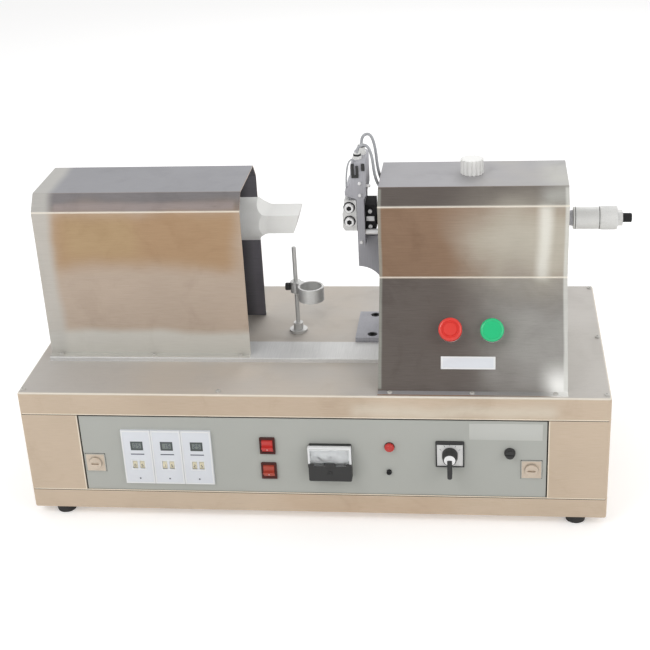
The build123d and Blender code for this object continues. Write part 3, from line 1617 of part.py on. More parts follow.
with BuildPart() as fan_rotor:
    rotor_y = fan_back - 3
    rotor_depth = fan_depth - 9
    with BuildSketch(Plane.XZ.offset(-rotor_y)):
        with Locations((fan_x, fan_z)):
            Circle(fan_cup_radius)
    extrude(amount=rotor_depth)
    for index in range(fan_blades):
        turn = Location((fan_x, rotor_y - rotor_depth / 2, fan_z), (0, index * 360 / fan_blades, 0))
        reach = (fan_cup_radius + fan_blade_radius) / 2 - 1
        with Locations(turn * Location((0, 0, reach), (0, 0, fan_blade_angle))):
            Box(fan_blade_chord, fan_blade_thickness, fan_blade_radius - fan_cup_radius + 2)
    with BuildSketch(Plane.XZ.offset(-rotor_y)):
        with Locations((fan_x, fan_z)):
            Circle(fan_pin_radius + fit)
    extrude(amount=rotor_depth, mode=Mode.SUBTRACT)
save(fan_rotor, "fan_rotor")

# Solenoid valve for the cylinder, on its bracket
with BuildPart() as solenoid_valve:
    with BuildSketch(Plane.XY.offset(chassis_z)):
        with Locations((valve_x, valve_y)):
            Rectangle(valve_length + 20, valve_width + 10)
    extrude(amount=sheet)
    with BuildSketch(Plane.XY.offset(chassis_z + sheet)):
        with Locations((valve_x, valve_y)):
            Rectangle(valve_length, valve_width)
    extrude(amount=valve_height)
    with BuildSketch(Plane.XY.offset(chassis_z + sheet + valve_height)):
        with Locations((valve_x + valve_length / 2 - coil_size / 2, valve_y)):
            RectangleRounded(coil_size, coil_size, 3)
    extrude(amount=coil_height)
    with BuildSketch(Plane.XY.offset(chassis_z + sheet + valve_height)):
        with Locations((valve_x - 24, valve_y), (valve_x - 4, valve_y)):
            Circle(6)
    extrude(amount=14)
save(solenoid_valve, "solenoid_valve")

# Cable gland and air inlet through the back panel
with BuildPart() as rear_fittings:
    for fitting_x, fitting_z, radius, reach in (
        (gland_x, gland_z, gland_radius, 18),
        (inlet_x, inlet_z, inlet_radius, 22),
    ):
        back_line = Plane(origin=(fitting_x, base_back, fitting_z), x_dir=(0, 1, 0), z_dir=(1, 0, 0))
        turned(
            back_line,
            [
                (-12, radius),
                (5, radius),
                (5, radius - 0.5),
                (reach - 6, radius - 0.5),
                (reach, radius - 3),
            ],
        )
        with BuildSketch(Plane.XZ.offset(-base_back)):
            with Locations((fitting_x, fitting_z)):
                RegularPolygon(radius + 4, 6)
        extrude(amount=-5)
        bore = [(reach - 14, radius / 2 - 0.5), (reach, radius / 2 - 0.5)]
        turned(back_line, bore, Mode.SUBTRACT)
save(rear_fittings, "rear_fittings")


def cap_screws(places, z, upward=1):
    """Pan-head screws standing on a face at z; upward is +1, or -1 where seen from below."""
    for screw_x, screw_y in places:
        line = Plane(origin=(screw_x, screw_y, z), x_dir=(0, 0, upward), z_dir=(0, -1, 0))
        turned(
            line,
            [
                (-screw_length, screw_radius),
                (0, screw_radius),
                (0, screw_head_radius),
                (screw_head_height / 2, screw_head_radius),
                (screw_head_height, screw_head_radius - 1.2),
            ],
        )


# All the pan-head screws of the sheet metal, and the frame's socket screws
with BuildPart() as case_screws:
    cap_screws(deck_screws, deck_z)
    cap_screws(left_front_screws, bar_top + sheet)
    cap_screws(left_back_screws + right_front_screws + right_back_screws, deck_z + sheet)
    cap_screws(foot_places, foot_height / 2, -1)
    for screw_y in frame_screw_ys:
        turned(
            upwards(frame_screw_x, screw_y, web_bottom - frame_screw_head_height),
            [(0, frame_screw_head_radius), (frame_screw_head_height, frame_screw_head_radius)],
        )
save(case_screws, "case_screws")
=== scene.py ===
"""Looks of a benchtop tube sealing machine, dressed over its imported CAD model.

All places are in metres in the row frame: +X towards the anvil head, -Y towards
the operator, +Z up, with the floor at z = 0.
"""

import json
import logging
import math
from dataclasses import dataclass, field
from enum import Enum

import bpy
from mathutils import Matrix, Vector
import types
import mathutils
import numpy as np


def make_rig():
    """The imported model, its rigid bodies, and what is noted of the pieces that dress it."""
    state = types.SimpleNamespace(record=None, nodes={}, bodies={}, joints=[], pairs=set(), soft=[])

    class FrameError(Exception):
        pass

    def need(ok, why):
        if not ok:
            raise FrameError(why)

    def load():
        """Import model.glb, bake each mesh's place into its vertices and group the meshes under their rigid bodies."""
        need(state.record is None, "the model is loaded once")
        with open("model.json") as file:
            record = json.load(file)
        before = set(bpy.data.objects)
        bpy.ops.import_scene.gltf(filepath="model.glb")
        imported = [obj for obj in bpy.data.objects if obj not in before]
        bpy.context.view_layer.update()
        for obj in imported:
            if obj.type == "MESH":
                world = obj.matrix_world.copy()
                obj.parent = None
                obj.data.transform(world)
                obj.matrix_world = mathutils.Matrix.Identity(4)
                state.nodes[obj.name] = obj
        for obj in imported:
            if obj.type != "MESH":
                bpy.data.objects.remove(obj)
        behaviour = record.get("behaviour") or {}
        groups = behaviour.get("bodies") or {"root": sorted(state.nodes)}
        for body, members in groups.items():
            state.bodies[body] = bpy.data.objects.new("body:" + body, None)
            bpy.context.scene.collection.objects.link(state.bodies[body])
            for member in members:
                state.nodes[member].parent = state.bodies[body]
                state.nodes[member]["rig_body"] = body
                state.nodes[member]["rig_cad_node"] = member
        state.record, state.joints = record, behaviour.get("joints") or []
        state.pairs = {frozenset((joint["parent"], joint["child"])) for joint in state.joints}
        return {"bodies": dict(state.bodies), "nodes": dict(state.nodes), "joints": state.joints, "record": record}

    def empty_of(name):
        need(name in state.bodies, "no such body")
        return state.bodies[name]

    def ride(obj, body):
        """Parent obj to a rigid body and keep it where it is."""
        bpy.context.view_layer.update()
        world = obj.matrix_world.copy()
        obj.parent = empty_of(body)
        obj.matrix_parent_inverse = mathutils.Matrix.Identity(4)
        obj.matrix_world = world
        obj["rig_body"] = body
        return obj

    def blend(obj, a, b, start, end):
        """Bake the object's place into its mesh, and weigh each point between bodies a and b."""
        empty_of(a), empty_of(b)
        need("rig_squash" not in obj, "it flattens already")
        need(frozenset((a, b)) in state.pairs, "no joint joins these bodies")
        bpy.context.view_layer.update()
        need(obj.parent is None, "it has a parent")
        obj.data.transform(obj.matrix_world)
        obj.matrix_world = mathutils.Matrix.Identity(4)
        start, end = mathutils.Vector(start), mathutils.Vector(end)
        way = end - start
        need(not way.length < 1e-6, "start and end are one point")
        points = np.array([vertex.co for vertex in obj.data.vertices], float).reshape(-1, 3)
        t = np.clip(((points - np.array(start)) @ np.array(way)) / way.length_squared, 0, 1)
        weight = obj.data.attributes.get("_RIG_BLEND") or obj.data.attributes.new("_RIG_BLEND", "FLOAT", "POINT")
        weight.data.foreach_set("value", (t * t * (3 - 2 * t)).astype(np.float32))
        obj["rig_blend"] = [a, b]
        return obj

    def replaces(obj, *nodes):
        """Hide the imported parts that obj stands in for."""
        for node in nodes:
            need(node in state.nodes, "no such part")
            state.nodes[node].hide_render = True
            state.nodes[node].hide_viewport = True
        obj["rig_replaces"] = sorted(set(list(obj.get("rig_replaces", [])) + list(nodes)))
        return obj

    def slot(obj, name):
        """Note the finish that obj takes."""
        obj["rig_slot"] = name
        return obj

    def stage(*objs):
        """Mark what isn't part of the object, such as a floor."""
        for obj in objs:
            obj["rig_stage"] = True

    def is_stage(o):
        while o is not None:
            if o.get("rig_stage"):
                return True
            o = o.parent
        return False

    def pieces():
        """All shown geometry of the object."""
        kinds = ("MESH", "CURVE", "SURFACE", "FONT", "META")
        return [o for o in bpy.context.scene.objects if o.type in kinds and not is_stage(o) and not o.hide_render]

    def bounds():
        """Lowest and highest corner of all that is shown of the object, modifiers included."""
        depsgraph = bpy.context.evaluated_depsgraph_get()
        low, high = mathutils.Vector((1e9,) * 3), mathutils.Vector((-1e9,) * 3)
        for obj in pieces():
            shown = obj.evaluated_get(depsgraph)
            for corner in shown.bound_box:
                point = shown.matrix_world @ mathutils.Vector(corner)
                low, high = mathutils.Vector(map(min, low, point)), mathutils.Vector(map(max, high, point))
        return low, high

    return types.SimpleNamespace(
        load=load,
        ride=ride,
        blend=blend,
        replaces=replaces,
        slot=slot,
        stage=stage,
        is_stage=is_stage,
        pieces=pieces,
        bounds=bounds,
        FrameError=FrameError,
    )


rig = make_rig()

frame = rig.load()
CAD_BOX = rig.bounds()
NODES = frame["nodes"]
LOG = logging.getLogger("tube_sealer")

MM = 0.001
BASE_X = -16.25
Colour = tuple[float, float, float]
Point = tuple[float, float, float]


def place(x: float, y: float, z: float) -> Vector:
    """A point given in millimetres from the cabinet's centre on the floor."""
    return Vector(((x + BASE_X) * MM, y * MM, z * MM))


class Grain(Enum):
    """Which way a brushed or turned surface runs."""

    ALONG_X = (0.03, 1.0, 1.0)
    ALONG_Y = (1.0, 0.03, 1.0)
    ALONG_Z = (1.0, 1.0, 0.03)
    NONE = (1.0, 1.0, 1.0)


# Shader building


class Wires:
    """Adds shader nodes to one tree and joins them.

    Args:
        tree: the material's or group's node tree.
    """

    def __init__(self, tree: bpy.types.NodeTree) -> None:
        """Starts from an empty tree."""
        self.tree = tree
        tree.nodes.clear()

    def node(self, kind: str, inputs: dict | None = None, **settings) -> bpy.types.Node:
        """Adds a node.

        Args:
            kind: Blender's node type.
            inputs: input name or index to a constant or to the socket that feeds it.
            settings: plain properties of the node.

        Returns:
            The new node.
        """
        made = self.tree.nodes.new(kind)
        for name, value in settings.items():
            setattr(made, name, value)
        for name, value in (inputs or {}).items():
            if isinstance(value, bpy.types.NodeSocket):
                self.tree.links.new(value, made.inputs[name])
            else:
                made.inputs[name].default_value = value
        return made

    def math(self, operation: str, first, second=0.0) -> bpy.types.NodeSocket:
        """The result of one sum, product or other operation on two values."""
        return self.node("ShaderNodeMath", {0: first, 1: second}, operation=operation).outputs[0]

    def blend(self, factor, first, second) -> bpy.types.NodeSocket:
        """A colour between two, by a factor from 0 to 1."""
        made = self.node("ShaderNodeMix", {0: factor}, data_type="RGBA")
        for socket, value in ((made.inputs[6], first), (made.inputs[7], second)):
            if isinstance(value, bpy.types.NodeSocket):
                self.tree.links.new(value, socket)
            else:
                socket.default_value = (*value, 1.0)
        return made.outputs[2]

    def spread(self, value, low: float, high: float, start=0.0, end=1.0) -> bpy.types.NodeSocket:
        """A value carried from the range low to high over to start to end, and held there."""
        inputs = {"Value": value, "From Min": low, "From Max": high, "To Min": start, "To Max": end}
        return self.node("ShaderNodeMapRange", inputs).outputs[0]

    def where(self) -> bpy.types.NodeSocket:
        """The place on the object, in metres."""
        return self.node("ShaderNodeTexCoord").outputs["Object"]


def new_group(name: str, inputs: dict[str, str], outputs: dict[str, str]) -> tuple:
    """Makes an empty node group.

    Args:
        name: the group's name.
        inputs: input names with their socket types.
        outputs: output names with their socket types.

    Returns:
        The group, its wires, its input node and its output node.
    """
    group = bpy.data.node_groups.new(name, "ShaderNodeTree")
    for way, sockets in (("INPUT", inputs), ("OUTPUT", outputs)):
        for socket, kind in sockets.items():
            group.interface.new_socket(socket, in_out=way, socket_type=kind)
    wires = Wires(group)
    return group, wires, wires.node("NodeGroupInput"), wires.node("NodeGroupOutput")


VECTOR = "NodeSocketVector"
VALUE = "NodeSocketFloat"


def grain_group() -> bpy.types.NodeTree:
    """Fine lines along one direction, with soft clouds over them."""
    group, w, given, result = new_group(
        "surface_grain", {"Place": VECTOR, "Stretch": VECTOR, "Fineness": VALUE}, {"Streak": VALUE, "Cloud": VALUE}
    )
    pulled = w.node("ShaderNodeVectorMath", {0: given.outputs["Place"], 1: given.outputs["Stretch"]})
    pulled.operation = "MULTIPLY"
    lines = w.node("ShaderNodeTexNoise", {"Vector": pulled.outputs[0], "Scale": given.outputs["Fineness"],
                                          "Detail": 4.0, "Roughness": 0.65})
    cloud = w.node("ShaderNodeTexNoise", {"Vector": given.outputs["Place"], "Scale": 9.0, "Detail": 3.0,
                                          "Roughness": 0.5})
    group.links.new(w.spread(lines.outputs[0], 0.3, 0.7), result.inputs["Streak"])
    group.links.new(w.spread(cloud.outputs[0], 0.32, 0.68), result.inputs["Cloud"])
    return group


def handling_group() -> bpy.types.NodeTree:
    """Finger smudges and faint scratches of use."""
    group, w, given, result = new_group("handling_marks", {"Place": VECTOR}, {"Smudge": VALUE, "Scratch": VALUE})
    smear = w.node("ShaderNodeTexNoise", {"Vector": given.outputs["Place"], "Scale": 16.0, "Detail": 5.0,
                                          "Roughness": 0.6, "Distortion": 0.8})
    cells = w.node("ShaderNodeTexVoronoi", {"Vector": given.outputs["Place"], "Scale": 38.0},
                   feature="DISTANCE_TO_EDGE")
    group.links.new(w.spread(smear.outputs[0], 0.52, 0.72), result.inputs["Smudge"])
    thin = w.spread(cells.outputs[0], 0.0, 0.02, 1.0, 0.0)
    group.links.new(w.math("MULTIPLY", thin, w.spread(smear.outputs[0], 0.5, 0.6)), result.inputs["Scratch"])
    return group


def dust_group() -> bpy.types.NodeTree:
    """Specks of dust, more of them on what faces up."""
    group, w, given, result = new_group("settled_dust", {"Place": VECTOR, "Normal": VECTOR}, {"Dust": VALUE})
    specks = w.node("ShaderNodeTexNoise", {"Vector": given.outputs["Place"], "Scale": 900.0, "Detail": 2.0})
    patch = w.node("ShaderNodeTexNoise", {"Vector": given.outputs["Place"], "Scale": 14.0, "Detail": 2.0})
    up = w.node("ShaderNodeSeparateXYZ", {0: given.outputs["Normal"]}).outputs[2]
    amount = w.math("MULTIPLY", w.spread(specks.outputs[0], 0.58, 0.75), w.spread(patch.outputs[0], 0.4, 0.7))
    group.links.new(w.math("MULTIPLY", amount, w.spread(up, 0.3, 1.0, 0.25, 1.0)), result.inputs["Dust"])
    return group


def patch_group() -> bpy.types.NodeTree:
    """A soft-edged upright patch between two x and two z values, with a slightly wandering edge."""
    sides = ("Low X", "High X", "Low Z", "High Z")
    group, w, given, result = new_group(
        "soft_patch", {"Place": VECTOR, "Soft": VALUE, **{side: VALUE for side in sides}}, {"Mask": VALUE}
    )
    wander = w.node("ShaderNodeTexNoise", {"Vector": given.outputs["Place"], "Scale": 11.0, "Detail": 2.0})
    parts = w.node("ShaderNodeSeparateXYZ", {0: given.outputs["Place"]})
    shift = w.math("MULTIPLY", w.math("SUBTRACT", wander.outputs[0], 0.5), given.outputs["Soft"])
    mask = None
    for axis, low, high in ((0, "Low X", "High X"), (2, "Low Z", "High Z")):
        at = w.math("ADD", parts.outputs[axis], shift)
        rise = w.math("DIVIDE", w.math("SUBTRACT", at, given.outputs[low]), given.outputs["Soft"])
        fall = w.math("DIVIDE", w.math("SUBTRACT", given.outputs[high], at), given.outputs["Soft"])
        for edge in (rise, fall):
            step = w.node("ShaderNodeMapRange", {"Value": edge, "From Min": -0.5, "From Max": 0.5},
                          interpolation_type="SMOOTHSTEP").outputs[0]
            mask = step if mask is None else w.math("MULTIPLY", mask, step)
    group.links.new(mask, result.inputs["Mask"])
    return group


def fold_group() -> bpy.types.NodeTree:
    """A thin level line at one height, where a fold catches the light."""
    group, w, given, result = new_group("fold_line", {"Place": VECTOR, "Height": VALUE, "Width": VALUE},
                                        {"Mask": VALUE})
    height = w.node("ShaderNodeSeparateXYZ", {0: given.outputs["Place"]}).outputs[2]
    away = w.math("ABSOLUTE", w.math("SUBTRACT", height, given.outputs["Height"]))
    near = w.math("SUBTRACT", 1.0, w.math("DIVIDE", away, given.outputs["Width"]))
    group.links.new(w.math("MAXIMUM", near, 0.0), result.inputs["Mask"])
    return group


def inner_group() -> bpy.types.NodeTree:
    """Marks the inner faces of a cover that stands round the X axis, and how deep they lie."""
    group, w, given, result = new_group("inner_face", {"Place": VECTOR, "Normal": VECTOR, "Mouth": VALUE},
                                        {"Inner": VALUE, "Depth": VALUE})
    at = w.node("ShaderNodeSeparateXYZ", {0: given.outputs["Place"]})
    way = w.node("ShaderNodeSeparateXYZ", {0: given.outputs["Normal"]})
    across = w.math("MULTIPLY", at.outputs[1], way.outputs[1])
    upright = w.math("MULTIPLY", w.math("SUBTRACT", at.outputs[2], 0.15), way.outputs[2])
    group.links.new(w.math("LESS_THAN", w.math("ADD", across, upright), -0.001), result.inputs["Inner"])
    deep = w.math("ABSOLUTE", w.math("SUBTRACT", at.outputs[0], given.outputs["Mouth"]))
    group.links.new(w.spread(deep, 0.012, 0.045), result.inputs["Depth"])
    return group


@dataclass
class Effects:
    """The shader node groups that the finishes share."""

    grain: bpy.types.NodeTree = field(default_factory=grain_group)
    handling: bpy.types.NodeTree = field(default_factory=handling_group)
    dust: bpy.types.NodeTree = field(default_factory=dust_group)
    patch: bpy.types.NodeTree = field(default_factory=patch_group)
    fold: bpy.types.NodeTree = field(default_factory=fold_group)
    inner: bpy.types.NodeTree = field(default_factory=inner_group)


EFFECTS = Effects()


@dataclass(frozen=True)
class Finish:
    """A finish with grain, clouding, smudges and dust.

    Args:
        name: what the material is called.
        colour: the main colour.
        shade: the colour of its darker clouds and streaks.
        metallic: 1 for bare metal, 0 for paint and plastic.
        roughness: the mean roughness.
        grain: the direction of its lines.
        fineness: how fine the lines are.
        relief: depth of the lines in the bump.
        marks: how much smudges change its roughness.
        coat: weight of a clear gloss over it.
        streaks: how much the lines show in the colour.
        specular: strength of its plain reflection.
    """

    name: str
    colour: Colour
    shade: Colour
    metallic: float = 0.0
    roughness: float = 0.4
    grain: Grain = Grain.NONE
    fineness: float = 900.0
    relief: float = 0.05
    marks: float = 0.08
    coat: float = 0.0
    specular: float = 0.5
    streaks: float = 0.3

    def tint(self, w: Wires, here, cloud) -> bpy.types.NodeSocket:
        """The colour over the surface, before dust."""
        return w.blend(cloud, self.colour, self.shade)

    def polish(self, w: Wires, shader: bpy.types.Node) -> None:
        """Extra settings of the shader that a special finish needs."""

    def build(self) -> bpy.types.Material:
        """Makes the material once and returns it."""
        found = bpy.data.materials.get(self.name)
        if found:
            return found
        material = bpy.data.materials.new(self.name)
        material.use_nodes = True
        w = Wires(material.node_tree)
        here = w.where()
        normal = w.node("ShaderNodeNewGeometry").outputs["Normal"]
        grain = w.node("ShaderNodeGroup", node_tree=EFFECTS.grain)
        w.tree.links.new(here, grain.inputs["Place"])
        grain.inputs["Stretch"].default_value = self.grain.value
        grain.inputs["Fineness"].default_value = self.fineness
        marks = w.node("ShaderNodeGroup", {"Place": here}, node_tree=EFFECTS.handling)
        dust = w.node("ShaderNodeGroup", {"Place": here, "Normal": normal}, node_tree=EFFECTS.dust)
        streaked = w.math("ADD", w.math("MULTIPLY", grain.outputs["Cloud"], 0.6),
                          w.math("MULTIPLY", grain.outputs["Streak"], self.streaks))
        colour = self.tint(w, here, streaked)
        dusty = w.blend(w.math("MULTIPLY", dust.outputs["Dust"], 0.12), colour, (0.62, 0.60, 0.57))
        rough = w.math("ADD", w.math("MULTIPLY", marks.outputs["Smudge"], self.marks),
                       w.math("MULTIPLY_ADD", grain.outputs["Streak"], 0.1))
        rough = w.math("ADD", rough, w.math("MULTIPLY", dust.outputs["Dust"], 0.2))
        rough = w.math("ADD", rough, self.roughness - 0.05)
        height = w.math("SUBTRACT", grain.outputs["Streak"], w.math("MULTIPLY", marks.outputs["Scratch"], 0.3))
        bump = w.node("ShaderNodeBump", {"Height": height, "Strength": self.relief, "Distance": 0.0004})
        shader = w.node("ShaderNodeBsdfPrincipled", {
            "Base Color": dusty, "Roughness": rough, "Normal": bump.outputs[0], "Metallic": self.metallic,
            "Coat Weight": self.coat, "Specular IOR Level": self.specular})
        self.polish(w, shader)
        w.node("ShaderNodeOutputMaterial", {"Surface": shader.outputs[0]})
        material.diffuse_color = (*self.colour, 1.0)
        return material


@dataclass(frozen=True)
class Sheen:
    """A painted reflection: a soft patch of another tone, where polished sheet shows its surroundings.

    Args:
        x: its ends along the machine, in millimetres from the cabinet's centre.
        z: its lower and upper height in millimetres.
        soft: how far its edges fade, in millimetres.
        colour: its tone.
        amount: how strong it is.
    """

    x: tuple[float, float]
    z: tuple[float, float]
    soft: float
    colour: Colour
    amount: float = 1.0


@dataclass(frozen=True)
class FoldedSheet(Finish):
    """Brushed stainless sheet whose walls, leaning faces and tops each carry a painted reflection tone.

    Args:
        slope: the painted reflection tone of faces that lean back.
        top: the painted reflection tone of faces that look up.
        sheens: painted reflections, soft patches of other tones.
        folds: heights of the painted highlight lines along the folds, in millimetres.
        mouth: x of the open end in millimetres, for a cover whose inside takes painted shade, darker with depth.
    """

    slope: Colour = (0.30, 0.28, 0.27)
    top: Colour = (0.62, 0.64, 0.68)
    sheens: tuple[Sheen, ...] = ()
    folds: tuple[float, ...] = ()
    mouth: float | None = None

    def tint(self, w: Wires, here, cloud) -> bpy.types.NodeSocket:
        """Walls, slopes and tops in painted reflection tones, with painted reflection patches, painted highlight lines
        on the folds and painted shade inside.
        """
        normal = w.node("ShaderNodeNewGeometry").outputs["Normal"]
        up = w.node("ShaderNodeSeparateXYZ", {0: normal}).outputs[2]
        wall = w.blend(cloud, self.colour, self.shade)
        # Painted reflection: faces that lean back and faces that look up take their own reflected tones in place of
        # the wall's.
        leaning = w.math("MULTIPLY", w.spread(up, 0.15, 0.5), w.spread(up, 0.8, 0.97, 1.0, 0.0))
        toned = w.blend(leaning, wall, w.blend(cloud, self.slope, tuple(0.88 * c for c in self.slope)))
        toned = w.blend(w.spread(up, 0.85, 0.98), toned, w.blend(cloud, self.top, tuple(0.93 * c for c in self.top)))
        # Painted reflections: soft patches of other tones laid over the sheet.
        for sheen in self.sheens:
            patch = w.node("ShaderNodeGroup", node_tree=EFFECTS.patch)
            w.tree.links.new(here, patch.inputs["Place"])
            sides = [(x + BASE_X) * MM for x in sheen.x] + [z * MM for z in sheen.z]
            for side, value in zip(("Low X", "High X", "Low Z", "High Z"), sides):
                patch.inputs[side].default_value = value
            patch.inputs["Soft"].default_value = sheen.soft * MM
            toned = w.blend(w.math("MULTIPLY", patch.outputs[0], sheen.amount), toned, sheen.colour)
        # Painted highlight: a light line along each fold.
        for height in self.folds:
            line = w.node("ShaderNodeGroup", node_tree=EFFECTS.fold)
            w.tree.links.new(here, line.inputs["Place"])
            line.inputs["Height"].default_value = height * MM
            line.inputs["Width"].default_value = 0.0018
            toned = w.blend(w.math("MULTIPLY", line.outputs[0], 0.9), toned, (0.92, 0.88, 0.80))
        if self.mouth is None:
            return toned
        # Painted shade: the cover's inner faces go from grey near the open end to near black deeper in.
        inner = w.node("ShaderNodeGroup", node_tree=EFFECTS.inner)
        w.tree.links.new(here, inner.inputs["Place"])
        w.tree.links.new(normal, inner.inputs["Normal"])
        inner.inputs["Mouth"].default_value = (self.mouth + BASE_X) * MM
        inside = w.blend(inner.outputs["Depth"], (0.33, 0.32, 0.35), (0.03, 0.028, 0.028))
        return w.blend(inner.outputs["Inner"], toned, inside)


@dataclass(frozen=True)
class ClearPart(Finish):
    """Clear plastic or glass."""

    clarity: float = 0.95

    def polish(self, w: Wires, shader: bpy.types.Node) -> None:
        """Lets light through."""
        shader.inputs["Transmission Weight"].default_value = self.clarity
        shader.inputs["IOR"].default_value = 1.15


SEAM_DARK = Finish("seam_shadow", (0.05, 0.043, 0.036), (0.035, 0.03, 0.026), 0.0, 0.6, Grain.NONE, 1500.0, 0.05)
# Painted highlight: the rolled hems take a lighter copy of the cabinet steel.
HEM_HIGHLIGHT = Finish("hem_highlight", (0.86, 0.80, 0.70), (0.76, 0.69, 0.58), 1.0, 0.22, Grain.ALONG_X, 1500.0, 0.03)
# Tones of painted reflections on the polished covers.
BROWN_REFLECTION = (0.50, 0.345, 0.205)
PALE_REFLECTION = (0.70, 0.695, 0.66)
# Cabinet sheet: its warm wall colour and its slope and top tones are painted reflection tones, its sheens are painted
# reflections on the front, and the line at the deck edge (196 mm) is a painted highlight.
CABINET = FoldedSheet("cabinet_sheet", (0.68, 0.585, 0.48), (0.62, 0.53, 0.43), 1.0, 0.30, Grain.ALONG_X, 1500.0, 0.04,
                      slope=(0.60, 0.58, 0.56), top=(0.47, 0.46, 0.47), folds=(196.0,), streaks=0.08,
                      sheens=(Sheen((-60, 190), (12, 40), 60, (0.60, 0.47, 0.35), 0.6),
                              Sheen((-250, 60), (165, 195), 80, (0.62, 0.52, 0.42), 0.7),
                              Sheen((60, 330), (168, 182), 20, (0.74, 0.70, 0.62), 0.7)))
# Left cover: wall, slope and top tones are painted reflection tones; its sheens are painted reflections (a brown band
# under the top fold, a pale band low on the front, a pale strip at the left end) and a darker painted shade strip
# above the fold. The line at 418 mm is a painted highlight, and its inside takes painted shade.
LEFT_COVER = FoldedSheet("left_cover_sheet", (0.60, 0.51, 0.43), (0.55, 0.465, 0.39), 1.0, 0.26, Grain.ALONG_X,
                         1500.0, 0.04, slope=(0.30, 0.285, 0.29), top=(0.42, 0.42, 0.44), folds=(418.0,),
                         streaks=0.06, mouth=-91.5,
                         sheens=(Sheen((-354, -96), (338, 417), 34, BROWN_REFLECTION, 0.85),
                                 Sheen((-340, -240), (350, 410), 30, (0.56, 0.44, 0.27), 0.5),
                                 Sheen((-390, -85), (150, 240), 16, PALE_REFLECTION, 0.9),
                                 Sheen((-400, -356), (180, 460), 16, (0.62, 0.61, 0.58), 0.8),
                                 Sheen((-350, -100), (419, 428), 6, (0.42, 0.37, 0.36), 0.8)))
# Right cover: its brown wall colour and its slope and top tones are painted reflection tones; its sheens are painted
# reflections and highlights, with a darker painted shade strip along its left edge and a lighter painted highlight
# strip near its right edge. The lines at 427 and 327 mm are painted highlights, and its inside takes painted shade.
RIGHT_COVER = FoldedSheet("right_cover_sheet", (0.36, 0.25, 0.175), (0.33, 0.225, 0.155), 1.0, 0.26, Grain.ALONG_X,
                          1500.0, 0.04, slope=(0.20, 0.175, 0.16), top=(0.47, 0.465, 0.48), folds=(427.0, 327.0),
                          streaks=0.06, mouth=95.0,
                          sheens=(Sheen((215, 420), (328, 427), 90, (0.60, 0.57, 0.50), 0.95),
                                  Sheen((305, 322), (328, 427), 14, (0.84, 0.83, 0.78), 0.8),
                                  Sheen((240, 420), (190, 325), 110, (0.44, 0.43, 0.41), 0.95),
                                  Sheen((318, 420), (190, 225), 34, (0.95, 0.95, 0.93), 0.9),
                                  Sheen((310, 420), (428, 446), 26, (0.60, 0.60, 0.57), 0.85),
                                  Sheen((88, 99), (200, 445), 3, (0.45, 0.46, 0.42), 0.7),
                                  Sheen((339, 350), (200, 445), 3, (0.75, 0.75, 0.72), 0.8)))
PANEL_PAINT = Finish("panel_paint", (0.455, 0.465, 0.435), (0.43, 0.44, 0.41), 0.0, 0.40, Grain.NONE, 1500.0, 0.12)
GROUND_STEEL = Finish("ground_steel", (0.80, 0.80, 0.79), (0.66, 0.66, 0.66), 1.0, 0.20, Grain.ALONG_Y, 900.0, 0.05)
# Its warm tint paints the beige reflection that the polished lock plates show.
WARM_PLATE = Finish("warm_plate", (0.70, 0.62, 0.53), (0.56, 0.48, 0.40), 1.0, 0.18, Grain.NONE, 900.0, 0.08)
MILLED = Finish("milled_aluminium", (0.60, 0.60, 0.63), (0.50, 0.50, 0.53), 1.0, 0.34, Grain.ALONG_Z, 700.0, 0.08)
SATIN_HORN = Finish("satin_horn", (0.88, 0.88, 0.86), (0.82, 0.82, 0.81), 0.55, 0.42, Grain.NONE, 1800.0, 0.06)
TURNED = Finish("turned_steel", (0.78, 0.78, 0.77), (0.68, 0.68, 0.67), 1.0, 0.17, Grain.NONE, 900.0, 0.03)
KNURLED = Finish("knurled_steel", (0.84, 0.84, 0.83), (0.74, 0.74, 0.73), 1.0, 0.26, Grain.NONE, 900.0, 0.05)
CHROME = Finish("bright_plate", (0.86, 0.86, 0.86), (0.74, 0.74, 0.75), 1.0, 0.12, Grain.NONE, 1200.0, 0.03)
ZINC = Finish("zinc_screw", (0.72, 0.71, 0.68), (0.58, 0.57, 0.55), 1.0, 0.28, Grain.NONE, 1500.0, 0.06)
BLACK_STEEL = Finish("black_steel", (0.05, 0.05, 0.052), (0.03, 0.03, 0.03), 0.8, 0.28, Grain.NONE, 1500.0, 0.06)
RUBBER = Finish("foot_rubber", (0.028, 0.028, 0.029), (0.018, 0.018, 0.018), 0.0, 0.72, Grain.NONE, 1500.0, 0.25)
BLACK_PLASTIC = Finish("black_plastic", (0.022, 0.022, 0.023), (0.014, 0.014, 0.015), 0.0, 0.30, Grain.NONE,
                       1800.0, 0.08, coat=0.2)
GREY_PLASTIC = Finish("grey_plastic", (0.40, 0.41, 0.40), (0.34, 0.35, 0.34), 0.0, 0.45, Grain.NONE, 1800.0, 0.1)
WHITE_PLASTIC = Finish("white_plastic", (0.83, 0.83, 0.81), (0.78, 0.78, 0.76), 0.0, 0.28, Grain.NONE, 1500.0, 0.05,
                       coat=0.3)
CREAM_PLASTIC = Finish("cream_plastic", (0.80, 0.74, 0.56), (0.72, 0.66, 0.48), 0.0, 0.36, Grain.NONE, 1500.0, 0.06)
TIMER_FILM = Finish("timer_film", (0.74, 0.765, 0.81), (0.70, 0.725, 0.77), 0.0, 0.34, Grain.NONE, 1800.0, 0.05,
                    coat=0.3)
LABEL_FILM = Finish("label_film", (0.82, 0.83, 0.84), (0.79, 0.80, 0.81), 0.0, 0.3, Grain.NONE, 1500.0, 0.03,
                    coat=0.3)
PALE_FILM = Finish("pale_film", (0.55, 0.56, 0.53), (0.525, 0.535, 0.505), 0.0, 0.32, Grain.NONE, 1500.0, 0.03,
                   coat=0.3)
DISPLAY = Finish("display_glass", (0.22, 0.25, 0.235), (0.18, 0.21, 0.195), 0.0, 0.16, Grain.NONE, 1500.0, 0.02,
                 coat=0.4)
